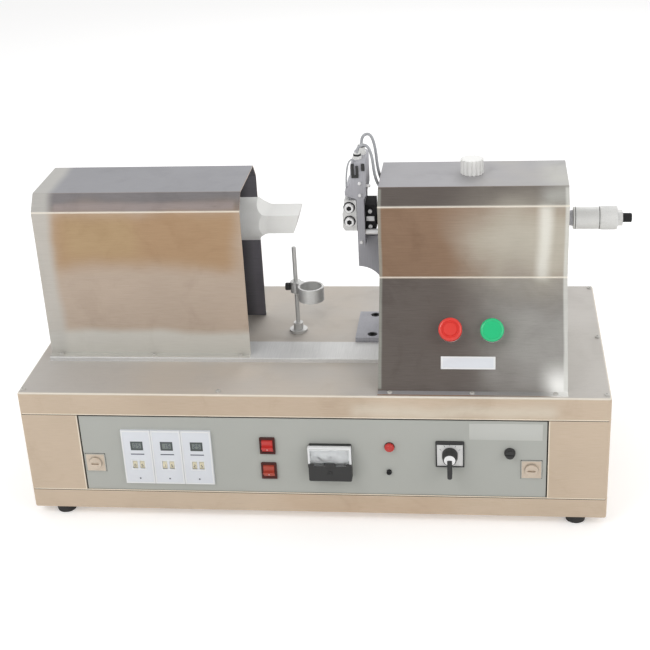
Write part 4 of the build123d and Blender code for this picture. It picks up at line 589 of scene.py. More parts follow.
DISPLAY_FRAME = Finish("display_frame", (0.10, 0.115, 0.115), (0.08, 0.09, 0.09), 0.0, 0.3, Grain.NONE, 1500.0, 0.04)
INK = Finish("dark_print", (0.10, 0.11, 0.15), (0.08, 0.09, 0.12), 0.0, 0.45, Grain.NONE, 1800.0, 0.05)
RED_PLASTIC = Finish("red_plastic", (0.80, 0.035, 0.022), (0.66, 0.022, 0.014), 0.0, 0.18, Grain.NONE, 1500.0, 0.03,
                     coat=0.6)
RED_LENS = Finish("red_lens", (0.62, 0.03, 0.022), (0.46, 0.018, 0.014), 0.0, 0.16, Grain.NONE, 1500.0, 0.03,
                  coat=0.6)
AMBER_LENS = Finish("amber_lens", (0.45, 0.055, 0.025), (0.30, 0.03, 0.014), 0.0, 0.16, Grain.NONE, 1500.0, 0.03,
                    coat=0.6)
DARK_RED = Finish("dark_red_bezel", (0.075, 0.014, 0.011), (0.045, 0.008, 0.006), 0.0, 0.3, Grain.NONE, 1500.0, 0.05)
GREEN_PLASTIC = Finish("green_plastic", (0.03, 0.70, 0.27), (0.02, 0.60, 0.22), 0.0, 0.2, Grain.NONE, 1500.0, 0.03,
                       coat=0.5)
CLEAR = ClearPart("clear_window", (0.97, 0.98, 0.98), (0.95, 0.96, 0.96), 0.0, 0.03, Grain.NONE, 1200.0, 0.0,
                  marks=0.0)
LEAD_JACKET = Finish("lead_jacket", (0.42, 0.43, 0.45), (0.34, 0.35, 0.37), 0.0, 0.3, Grain.NONE, 2500.0, 0.1,
                     coat=0.4)
ANODISED = Finish("anodised_tube", (0.52, 0.54, 0.57), (0.44, 0.46, 0.49), 0.9, 0.36, Grain.ALONG_X, 900.0, 0.05)
NICKEL_BRASS = Finish("nickel_brass", (0.66, 0.60, 0.44), (0.54, 0.48, 0.34), 1.0, 0.3, Grain.NONE, 1200.0, 0.06)
ZINC_SHEET = Finish("zinc_chassis", (0.60, 0.61, 0.62), (0.48, 0.49, 0.51), 0.9, 0.4, Grain.NONE, 500.0, 0.08)

FINISH_OF_NODE: dict[str, Finish] = {
    "base_tray": CABINET, "base_top": CABINET, "side_panel_left": CABINET, "side_panel_right": CABINET,
    "back_panel": CABINET, "control_panel": PANEL_PAINT, "feet": RUBBER, "case_screws": ZINC, "bed_bar": GROUND_STEEL,
    "timer_cases": TIMER_FILM, "rocker_housings": DARK_RED, "upper_rocker": RED_LENS, "lower_rocker": AMBER_LENS,
    "meter_case": BLACK_PLASTIC, "meter_window": CLEAR, "meter_needle": BLACK_PLASTIC, "pilot_lamp": DARK_RED,
    "power_trimmer": BLACK_STEEL, "cam_switch_body": BLACK_PLASTIC, "cam_switch_knob": BLACK_PLASTIC,
    "fuse_holder": BLACK_PLASTIC, "panel_lock_left": WARM_PLATE, "panel_lock_right": WARM_PLATE, "left_cover": LEFT_COVER,
    "left_end_plate": CABINET, "stack_stand": MILLED, "booster": TURNED, "transducer": TURNED, "horn": SATIN_HORN,
    "right_cover": RIGHT_COVER, "cover_knob": WHITE_PLASTIC, "head_frame": MILLED, "air_cylinder": ANODISED,
    "piston_rod": BLACK_STEEL, "guide_rods": CHROME, "carriage_plate": MILLED, "anvil_block": GROUND_STEEL,
    "anvil_screws": CHROME, "hose_fittings": WHITE_PLASTIC, "signal_leads": LEAD_JACKET, "stop_spindle": BLACK_STEEL,
    "adjuster_knob": TURNED, "adjuster_locknut": TURNED, "button_bezels": CHROME, "red_button": RED_PLASTIC,
    "green_button": GREEN_PLASTIC, "holder_post": TURNED, "holder_arm": TURNED, "holder_screw": BLACK_PLASTIC,
    "ultrasonic_generator": ZINC_SHEET, "fan_frame": BLACK_PLASTIC, "fan_rotor": BLACK_PLASTIC,
    "solenoid_valve": ANODISED, "rear_fittings": NICKEL_BRASS,
}


# Modelling by operators


class Bench:
    """Models pieces with Blender's operators, the way a person would by hand."""

    @staticmethod
    def clear() -> None:
        """Deselects everything."""
        for shown in bpy.context.selected_objects:
            shown.select_set(False)
        bpy.context.view_layer.objects.active = None

    @staticmethod
    def pick(piece: bpy.types.Object) -> None:
        """Selects one piece alone and makes it active."""
        Bench.clear()
        piece.select_set(True)
        bpy.context.view_layer.objects.active = piece

    @staticmethod
    def settle(piece: bpy.types.Object, name: str, move: Matrix | None = None) -> bpy.types.Object:
        """Names a piece, puts its place into its mesh and smooths it by angle."""
        Bench.pick(piece)
        if move is not None:
            piece.matrix_world = move @ piece.matrix_world
        bpy.context.view_layer.update()
        bpy.ops.object.transform_apply(location=True, rotation=True, scale=True)
        bpy.ops.object.mode_set(mode="EDIT")
        bpy.ops.mesh.select_all(action="SELECT")
        bpy.ops.mesh.normals_make_consistent(inside=False)
        bpy.ops.object.mode_set(mode="OBJECT")
        bpy.ops.object.shade_smooth_by_angle(angle=math.radians(35))
        piece.name = name
        piece.data.name = name
        return piece

    @staticmethod
    def block(name: str, low: Vector, high: Vector, edge: float = 0.0, steps: int = 2) -> bpy.types.Object:
        """A box from corner to corner with softened edges."""
        Bench.clear()
        bpy.ops.mesh.primitive_cube_add(size=1, location=(low + high) / 2)
        piece = bpy.context.object
        piece.scale = high - low
        bpy.ops.object.transform_apply(location=True, rotation=True, scale=True)
        if edge:
            bpy.ops.object.mode_set(mode="EDIT")
            bpy.ops.mesh.select_all(action="SELECT")
            bpy.ops.mesh.bevel(offset=edge, segments=steps, affect="EDGES")
            bpy.ops.object.mode_set(mode="OBJECT")
        return Bench.settle(piece, name)

    @staticmethod
    def turned(name: str, profile: list[tuple[float, float]], base: Vector, axis: Vector,
               sides: int = 48) -> bpy.types.Object:
        """A turned piece, extruded and scaled ring by ring.

        Args:
            name: the piece's name.
            profile: distance along the axis and radius there, in millimetres.
            base: where the axis starts.
            axis: the way it points.
            sides: how many sides the circle has.

        Returns:
            The finished piece.
        """
        Bench.clear()
        reach, radius = profile[0]
        bpy.ops.mesh.primitive_circle_add(vertices=sides, radius=radius * MM, fill_type="NGON",
                                          location=(0, 0, reach * MM))
        piece = bpy.context.object
        bpy.ops.object.transform_apply(location=True, rotation=True, scale=True)
        bpy.ops.object.mode_set(mode="EDIT")
        bpy.ops.mesh.select_all(action="SELECT")
        for next_reach, next_radius in profile[1:]:
            bpy.ops.mesh.extrude_region_move(TRANSFORM_OT_translate={"value": (0, 0, (next_reach - reach) * MM)})
            if next_radius != radius:
                ratio = next_radius / radius
                bpy.ops.transform.resize(value=(ratio, ratio, 1), center_override=(0, 0, next_reach * MM))
            reach, radius = next_reach, next_radius
        bpy.ops.object.mode_set(mode="OBJECT")
        turn = Vector((0, 0, 1)).rotation_difference(axis.normalized()).to_matrix().to_4x4()
        return Bench.settle(piece, name, Matrix.Translation(base) @ turn)

    @staticmethod
    def cut(piece: bpy.types.Object, cutters: list[bpy.types.Object]) -> bpy.types.Object:
        """Cuts other shapes out of a piece and removes them."""
        for cutter in cutters:
            Bench.pick(piece)
            hole = piece.modifiers.new("cut", "BOOLEAN")
            hole.operation = "DIFFERENCE"
            hole.object = cutter
            hole.solver = "EXACT"
            bpy.ops.object.modifier_apply(modifier=hole.name)
            bpy.data.objects.remove(cutter)
        Bench.pick(piece)
        bpy.ops.object.shade_smooth_by_angle(angle=math.radians(35))
        return piece

    @staticmethod
    def copies(master: bpy.types.Object, moves: list[Matrix], name: str) -> bpy.types.Object:
        """Copies a piece to several places, each with its own mesh, and joins them."""
        made = []
        for move in moves:
            twin = master.copy()
            twin.data = master.data.copy()
            twin.data.transform(move)
            bpy.context.scene.collection.objects.link(twin)
            made.append(twin)
        bpy.data.objects.remove(master)
        return Bench.join(made, name)

    @staticmethod
    def join(pieces: list[bpy.types.Object], name: str) -> bpy.types.Object:
        """Joins pieces into one."""
        Bench.pick(pieces[0])
        for piece in pieces:
            piece.select_set(True)
        if len(pieces) > 1:
            bpy.ops.object.join()
        joined = bpy.context.object
        joined.name = name
        joined.data.name = name
        return joined

    @staticmethod
    def dress(piece: bpy.types.Object, finish: Finish, body: str = "machine", slot: str = "") -> bpy.types.Object:
        """Gives a piece its finish and the body it rides on."""
        piece.data.materials.clear()
        piece.data.materials.append(finish.build())
        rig.ride(piece, body)
        if slot:
            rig.slot(piece, slot)
        return piece


# The machine's sub-assemblies


@dataclass
class Cabinet:
    """The frame's own nodes, each with its finish."""

    finishes: dict[str, Finish] = field(default_factory=lambda: FINISH_OF_NODE)
    half_length: float = 400.0
    half_depth: float = 180.0
    seam_zs: tuple[float, float] = (42.0, 163.0)
    stile_x: float = 320.0

    def band(self, name: str, low: float, high: float, proud: float, corner: float) -> list[bpy.types.Object]:
        """Four thin level strips round the cabinet, just proud of its sheet."""
        length, depth = self.half_length - corner, self.half_depth - corner
        bars = []
        for side in (-1, 1):
            y_low, y_high = sorted((side * (self.half_depth - 0.5), side * (self.half_depth + proud)))
            bars.append(Bench.block(name, place(-length, y_low, low), place(length, y_high, high), proud * 0.4 * MM))
            x_low, x_high = sorted((side * (self.half_length - 0.5), side * (self.half_length + proud)))
            bars.append(Bench.block(name, place(x_low, -depth, low), place(x_high, depth, high), proud * 0.4 * MM))
        return bars

    def seams(self) -> None:
        """The dark joints between tray, sides and deck, each under a rolled edge whose light colour is a painted
        highlight.
        """
        gaps, hems = [], []
        for z in self.seam_zs:
            gaps += self.band("gap", z - 0.55, z + 0.55, 0.10, 2.4)
            hems += self.band("hem", z + 0.5, z + 2.0, 0.35, 3.0)
        for side in (-1, 1):
            for y in (-1, 1):
                y_low, y_high = sorted((y * (self.half_depth - 0.5), y * (self.half_depth + 0.30)))
                x_low, x_high = sorted((side * (self.stile_x - 0.1), side * (self.stile_x + 1.5)))
                hems.append(Bench.block("hem", place(x_low, y_low, self.seam_zs[0] + 2.1),
                                        place(x_high, y_high, self.seam_zs[1] - 0.7), 0.12 * MM))
        Bench.dress(Bench.join(gaps, "seam_gaps"), SEAM_DARK, slot="cabinet_steel")
        Bench.dress(Bench.join(hems, "rolled_edges"), HEM_HIGHLIGHT, slot="cabinet_steel")

    def panel_gap(self) -> None:
        """The dark joint round the control panel."""
        low, high = self.seam_zs[0] + 0.3, self.seam_zs[1] - 0.3
        frame_block = Bench.block("panel_joint", place(-319.6, -178.4, low), place(319.6, -177.8, high))
        window = Bench.block("cutter", place(-317.6, -190, low + 1.9), place(317.6, -170, high - 1.9))
        Bench.dress(Bench.cut(frame_block, [window]), SEAM_DARK, slot="panel_grey")

    def build(self) -> None:
        """Dresses every CAD node and adds the joints between the sheets."""
        self.seams()
        self.panel_gap()
        for name, node in NODES.items():
            finish = self.finishes.get(name, CREAM_PLASTIC)
            node.data.materials.clear()
            node.data.materials.append(finish.build())


@dataclass
class Fasteners:
    """Cross-recessed pan heads and socket heads in place of the plain CAD screws."""

    head_radius: float = 3.5
    head_height: float = 2.2
    deck_z: float = 197.0
    flange_z: float = 198.5
    bar_flange_z: float = 204.5
    foot_recess_z: float = 6.0

    def pan_head(self) -> bpy.types.Object:
        """One pan head standing on the origin, with a cross recess."""
        head = Bench.turned("pan_head", [(0, 3.5), (0.9, 3.5), (1.5, 3.3), (1.95, 2.6), (2.2, 1.5)],
                            Vector((0, 0, 0)), Vector((0, 0, 1)), 24)
        arms = []
        for turn in (0.0, math.pi / 2):
            arm = Bench.block("arm", Vector((-2.1, -0.38, 1.1)) * MM, Vector((2.1, 0.38, 3.0)) * MM)
            arm.data.transform(Matrix.Rotation(turn, 4, "Z"))
            arms.append(arm)
        return Bench.cut(head, arms)

    def socket_head(self, radius: float, height: float) -> bpy.types.Object:
        """One cylinder head standing on the origin, with a hexagon socket and a knurled rim."""
        head = Bench.turned("socket_head", [(0, radius), (height - 0.8, radius), (height, radius - 0.8)],
                            Vector((0, 0, 0)), Vector((0, 0, 1)), 40)
        hexagon = Bench.turned("cutter", [(height * 0.45, radius * 0.56), (height + 2, radius * 0.56)],
                               Vector((0, 0, 0)), Vector((0, 0, 1)), 6)
        flutes = []
        for index in range(20):
            turn = Matrix.Rotation(math.tau * index / 20, 4, "Z")
            flute = Bench.block("cutter", Vector((radius - 0.25, -0.22, 0.8)) * MM,
                                Vector((radius + 1.0, 0.22, height - 1.4)) * MM)
            flute.data.transform(turn)
            flutes.append(flute)
        return Bench.cut(head, [hexagon, Bench.join(flutes, "cutter")])

    def places(self) -> list[Matrix]:
        """Where the pan heads stand."""
        spots = [place(side * 394, y, self.deck_z) for side in (-1, 1) for y in (-170, 0, 170)]
        spots.append(place(-121, -170, self.deck_z))
        spots += [place(x, -77.25, self.bar_flange_z) for x in (-365, -230, -105)]
        spots += [place(x, 77.25, self.flange_z) for x in (-365, -230, -105)]
        for x in (111.0, 219.5, 328.0):
            spots += [place(x, -172.25, self.flange_z), place(x, 67.75, self.flange_z)]
        moves = [Matrix.Translation(spot) @ Matrix.Rotation(0.7 * index, 4, "Z") for index, spot in enumerate(spots)]
        for side_x in (-1, 1):
            for side_y in (-1, 1):
                foot = place(side_x * 360, side_y * 162, self.foot_recess_z)
                moves.append(Matrix.Translation(foot) @ Matrix.Rotation(math.pi, 4, "X"))
        return moves

    def build(self) -> None:
        """Makes all the heads and hides the CAD's."""
        heads = Bench.copies(self.pan_head(), self.places(), "pan_head_screws")
        Bench.dress(heads, ZINC, slot="screw_steel")
        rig.replaces(heads, "case_screws")
        spots = [place(76.5, y, 203.0) for y in (48.0, -17.0)]
        sockets = Bench.copies(self.socket_head(6.4, 6.0), [Matrix.Translation(spot) for spot in spots],
                               "frame_socket_screws")
        Bench.dress(sockets, BLACK_STEEL, slot="screw_steel")
        out = Matrix.Rotation(math.pi / 2, 4, "X")
        spots = [place(52.0, -28.0, z) for z in (386.0, 406.0)]
        jaw = Bench.copies(self.socket_head(6.6, 5.2), [Matrix.Translation(spot) @ out for spot in spots],
                           "anvil_socket_screws")
        Bench.dress(jaw, CHROME, "anvil_carriage", "screw_steel")
        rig.replaces(jaw, "anvil_screws")
        # Painted shade: a dark filler deep in each hex socket.
        pits = [Bench.turned("pit", [(1.2, 3.6), (4.9, 3.6)], spot, Vector((0, -1, 0)), 6) for spot in spots]
        Bench.dress(Bench.join(pits, "anvil_socket_shade"), BLACK_STEEL, "anvil_carriage", "screw_steel")
        # Painted shadow: a thin dark ring round each socket head.
        rings = [Bench.turned("ring", [(0, 8.0), (0.35, 8.0), (0.5, 7.7)], spot, Vector((0, -1, 0)), 36)
                 for spot in spots]
        Bench.dress(Bench.join(rings, "anvil_screw_shadow_rings"), BLACK_STEEL, "anvil_carriage", "screw_steel")


@dataclass
class ControlPanel:
    """What stands on the grey front panel."""

    face_y: float = -179.0
    timer_xs: tuple[float, ...] = (-240.0, -198.0, -156.0)
    timer_z: float = 98.5
    timer_face: float = -182.0

    def plate(self, name: str, x: tuple[float, float], z: tuple[float, float], front: float, back: float,
              edge: float = 0.1) -> bpy.types.Object:
        """A thin upright plate between two y values."""
        return Bench.block(name, place(x[0], front, z[0]), place(x[1], back, z[1]), edge * MM)

    def hole(self, x: tuple[float, float], z: tuple[float, float]) -> bpy.types.Object:
        """A cutter through a thin plate."""
        return Bench.block("cutter", place(x[0], -200, z[0]), place(x[1], -170, z[1]))

    def digit(self, number: int, x: float, z: float, size: float, front: float) -> list[bpy.types.Object]:
        """A seven-bar digit made of thin raised bars."""
        half, thin = size / 2, size * 0.09
        bars = {"a": (0, size, True), "b": (half / 2, half * 1.5, False), "c": (half / 2, half / 2, False),
                "d": (0, 0, True), "e": (-half / 2, half / 2, False), "f": (-half / 2, half * 1.5, False),
                "g": (0, half, True)}
        lit = ("abcdef", "bc", "abged", "abgcd", "fgbc", "afgcd", "afgedc", "abc", "abcdefg", "abcdfg")[number]
        made = []
        for name in lit:
            across, up, level = bars[name]
            wide, tall = (half * 0.38, thin) if level else (thin, half * 0.38)
            made.append(self.plate("bar", (x + across - wide, x + across + wide), (z + up - tall, z + up + tall),
                                   front - 0.06, front + 0.02, 0.0))
        return made

    def timers(self) -> None:
        """White film faces with display, frame, underline and wheel window, and the digits shown."""
        films, glasses, inks, rims, frames, digits = [], [], [], [], [], []
        front = self.timer_face
        for index, x in enumerate(self.timer_xs):
            film = self.plate("film", (x - 20.5, x + 20.5), (56.5, 140.5), front - 0.3, front)
            cutters = [self.hole((x - 8.6, x + 8.6), (109.8, 123.4))]
            cutters += [self.hole((x + side * 5 - 3.3, x + side * 5 + 3.3), (80.5, 92.5)) for side in (-1, 1)]
            films.append(Bench.cut(film, cutters))
            glasses.append(self.plate("glass", (x - 7.0, x + 7.0), (111.4, 121.8), front + 0.1, front + 1.0))
            edge = self.plate("edge", (x - 8.8, x + 8.8), (109.6, 123.6), front - 0.4, front + 1.0, 0.15)
            frames.append(Bench.cut(edge, [self.hole((x - 6.2, x + 6.2), (112.2, 121.0))]))
            digits += self.digit(index, x - 2.6, 113.8, 5.6, front + 0.1)
            digits += self.digit(5, x + 2.6, 113.8, 5.6, front + 0.1)
            inks.append(self.plate("bar", (x - 9.5, x + 9.5), (102.6, 104.2), front - 0.34, front - 0.28, 0.0))
            inks.append(self.plate("dot", (x - 1.1, x + 1.1), (63.4, 65.6), front - 0.34, front - 0.28, 0.0))
            rim = self.plate("rim", (x - 20.8, x + 20.8), (56.2, 140.8), front - 0.7, front, 0.3)
            rims.append(Bench.cut(rim, [self.hole((x - 18.7, x + 18.7), (58.4, 138.6))]))
            bezel = self.plate("bezel", (x - 10.2, x + 10.2), (78.6, 94.4), front - 0.8, front - 0.2, 0.2)
            rims.append(Bench.cut(bezel, [self.hole((x - 8.8, x + 8.8), (80.0, 93.0))]))
        for pieces, name, finish in ((films, "timer_faces", TIMER_FILM), (glasses, "timer_displays", DISPLAY),
                                     (inks, "timer_bars", INK), (rims, "timer_rims", LABEL_FILM),
                                     (frames, "timer_frames", DISPLAY_FRAME), (digits, "timer_digits", INK)):
            Bench.dress(Bench.join(pieces, name), finish, slot="timer_plastic")

    def wheel_digits(self) -> None:
        """The number that faces out on each thumbwheel, printed on its flat."""
        front = self.timer_face - 0.8
        for index, x in enumerate(self.timer_xs):
            for side, reel, number in ((-1, "tens", index), (1, "units", 5)):
                bars = self.digit(number, x + side * 5, 84.2, 3.6, front)
                Bench.dress(Bench.join(bars, f"wheel_digit_{index + 1}_{reel}"), INK, f"timer_{index + 1}_{reel}",
                            "wheel_plastic")

    def rockers(self) -> None:
        """Raised rims of the two lit rockers, and a small white dome on each that is partly its printed lamp mark and
        partly a painted glint.
        """
        for z, body, finish in ((119.0, "rocker_upper", RED_LENS), (79.5, "rocker_lower", AMBER_LENS)):
            rim = self.plate("rocker_rim", (-68.2, -46.8), (z - 12.7, z + 12.7), -182.0, -180.9, 0.3)
            cut = self.hole((-65.2, -49.8), (z - 9.9, z + 9.9))
            Bench.dress(Bench.cut(rim, [cut]), DARK_RED, slot="black_plastic")
            # Partly the printed lamp mark, partly a painted glint: a small white dome on the rocker.
            glint = Bench.turned("rocker_glint_mark", [(0, 1.1), (0.35, 1.0), (0.5, 0.5)], place(-57.5, -184.4, z - 4.0),
                                 Vector((0, -1, -0.2)), 20)
            Bench.dress(glint, LABEL_FILM, body, "red_plastic")

    def meter(self) -> None:
        """The dial with its numbered scale, the pale upper frame and the black tabs under the window."""
        dial_y = -184.0
        dial = self.plate("meter_dial", (1.5, 55.0), (95.3, 121.5), dial_y - 0.3, dial_y, 0.0)
        Bench.dress(dial, LABEL_FILM, slot="black_plastic")
        marks = []
        centre = place(28.25, dial_y - 0.36, 89.0)
        for index in range(21):
            angle = math.radians(140 - 5.0 * index)
            main = index % 5 == 0
            outer, width = (27.2, 0.4) if main else (26.0, 0.22)
            tick = Bench.block("tick", Vector((24.0, -0.05, -width / 2)) * MM, Vector((outer, 0.05, width / 2)) * MM)
            tick.data.transform(Matrix.Translation(centre) @ Matrix.Rotation(-angle, 4, "Y"))
            marks.append(tick)
            if main:
                spot = Vector((28.25 + 29.6 * math.cos(angle), 0, 88.2 + 29.6 * math.sin(angle)))
                marks += self.digit(index // 5, spot.x, spot.z - 0.4, 2.4, dial_y - 0.3)
        dot = Bench.turned("dot", [(0, 1.3), (0.1, 1.3)], place(28.25, dial_y - 0.3, 105.0), Vector((0, -1, 0)), 24)
        Bench.dress(Bench.join([*marks, dot], "meter_scale"), INK, slot="black_plastic")
        frame_block = self.plate("meter_frame", (-1.2, 57.7), (95.4, 123.4), -192.5, -186.0, 0.5)
        window = self.hole((1.4, 55.1), (93.0, 119.8))
        Bench.dress(Bench.cut(frame_block, [window]), LABEL_FILM, slot="black_plastic")
        line = self.plate("meter_line", (1.0, 55.5), (120.6, 121.6), -192.6, -192.4, 0.0)
        Bench.dress(line, GREY_PLASTIC, slot="black_plastic")
        tabs = [self.plate("tab", (20.5, 36.0), (93.0, 99.4), -193.0, -191.9, 0.25),
                self.plate("tab", (-1.3, 6.5), (93.0, 98.4), -193.0, -191.9, 0.25),
                self.plate("tab", (50.0, 57.8), (93.0, 98.4), -193.0, -191.9, 0.25)]
        screw = Bench.turned("zero_screw", [(0, 3.0), (0.8, 3.0), (1.1, 2.6)], place(28.25, -192.0, 84.0),
                             Vector((0, -1, 0)), 24)
        slot = Bench.block("cutter", place(25.0, -194.0, 83.6), place(31.5, -192.6, 84.4))
        tabs.append(Bench.cut(screw, [slot]))
        Bench.dress(Bench.join(tabs, "meter_tabs"), BLACK_PLASTIC, slot="black_plastic")

    def lamp(self) -> None:
        """A faceted red lens that stands over its ring."""
        lens = Bench.turned("lamp_lens", [(1.2, 6.6), (3.2, 6.6), (4.4, 5.9), (4.4, 4.6), (5.2, 4.0), (6.6, 2.2),
                                          (6.9, 0.8)], place(108.9, self.face_y, 119.4), Vector((0, -1, 0)), 40)
        grooves = []
        for index in range(12):
            groove = Bench.block("cutter", Vector((5.9, -0.45, 0.5)) * MM, Vector((8.0, 0.45, 6.0)) * MM)
            turn = Matrix.Rotation(math.tau * index / 12, 4, "Z")
            out = Matrix.Rotation(math.pi / 2, 4, "X")
            groove.data.transform(Matrix.Translation(place(108.9, self.face_y, 119.4)) @ out @ turn)
            grooves.append(groove)
        Bench.dress(Bench.cut(lens, [Bench.join(grooves, "cutter")]), RED_LENS, slot="lamp_red")

    def switch(self) -> None:
        """The cam switch's bright dial with its black frame and marks, and the bright cap of its knob."""
        front = -181.0
        dial = self.plate("switch_dial", (172.6, 207.4), (92.0, 124.6), front - 0.25, front, 0.1)
        bore = Bench.turned("cutter", [(-5, 4.0), (5, 4.0)], place(190, front, 110), Vector((0, -1, 0)), 24)
        Bench.dress(Bench.cut(dial, [bore]), GROUND_STEEL, slot="grey_plastic")
        frame_block = self.plate("switch_frame", (170.8, 209.2), (90.3, 129.7), front - 0.7, front, 0.2)
        window = self.hole((172.6, 207.4), (92.0, 125.0))
        Bench.dress(Bench.cut(frame_block, [window]), BLACK_PLASTIC, slot="grey_plastic")
        marks = []
        for degrees in (-60, -30, 0, 30, 60):
            mark = Bench.block("mark", Vector((-0.3, -0.04, -16.0)) * MM, Vector((0.3, 0.04, -13.2)) * MM)
            turn = Matrix.Rotation(math.radians(180 + degrees), 4, "Y")
            mark.data.transform(Matrix.Translation(place(190, front - 0.29, 110)) @ turn)
            marks.append(mark)
        Bench.dress(Bench.join(marks, "switch_marks"), INK, slot="grey_plastic")
        cap = Bench.turned("switch_cap", [(0, 7.6), (0.5, 7.6), (0.9, 7.0)], place(190, -196.9, 110),
                           Vector((0, -1, 0)), 36)
        screw_slot = Bench.block("cutter", place(188.0, -199, 109.5), place(192.0, -197.5, 110.5))
        Bench.dress(Bench.cut(cap, [screw_slot]), CHROME, "mode_switch", "black_plastic")

    def labels(self) -> None:
        """The bare label strip, and the brushed plates round the two locks, each over a dark border of painted shade.
        """
        strip = self.plate("panel_label", (215.5, 312.3), (132.0, 157.0), self.face_y - 0.3, self.face_y, 0.12)
        Bench.dress(strip, PALE_FILM, slot="panel_grey")
        plates, shades = [], []
        for x in (-302.0, 298.5):
            plate = self.plate("lock_plate", (x - 12.9, x + 12.9), (74.5, 100.5), self.face_y - 1.5,
                               self.face_y - 1.1, 0.12)
            bore = Bench.turned("cutter", [(-5, 9.6), (5, 9.6)], place(x, self.face_y, 87.5), Vector((0, -1, 0)), 40)
            plates.append(Bench.cut(plate, [bore]))
            # Painted shade: a dark plate behind each lock plate, a little larger, as a shade border round it.
            shade = self.plate("lock_shade", (x - 14.3, x + 14.3), (73.2, 101.8), self.face_y - 0.5, self.face_y, 0.1)
            shades.append(shade)
        Bench.dress(Bench.join(plates, "lock_plates"), WARM_PLATE, slot="bezel_metal")
        Bench.dress(Bench.join(shades, "lock_shade_borders"), SEAM_DARK, slot="bezel_metal")

    def build(self) -> None:
        """Makes all that stands on the panel."""
        self.timers()
        self.wheel_digits()
        self.rockers()
        self.meter()
        self.lamp()
        self.switch()
        self.labels()


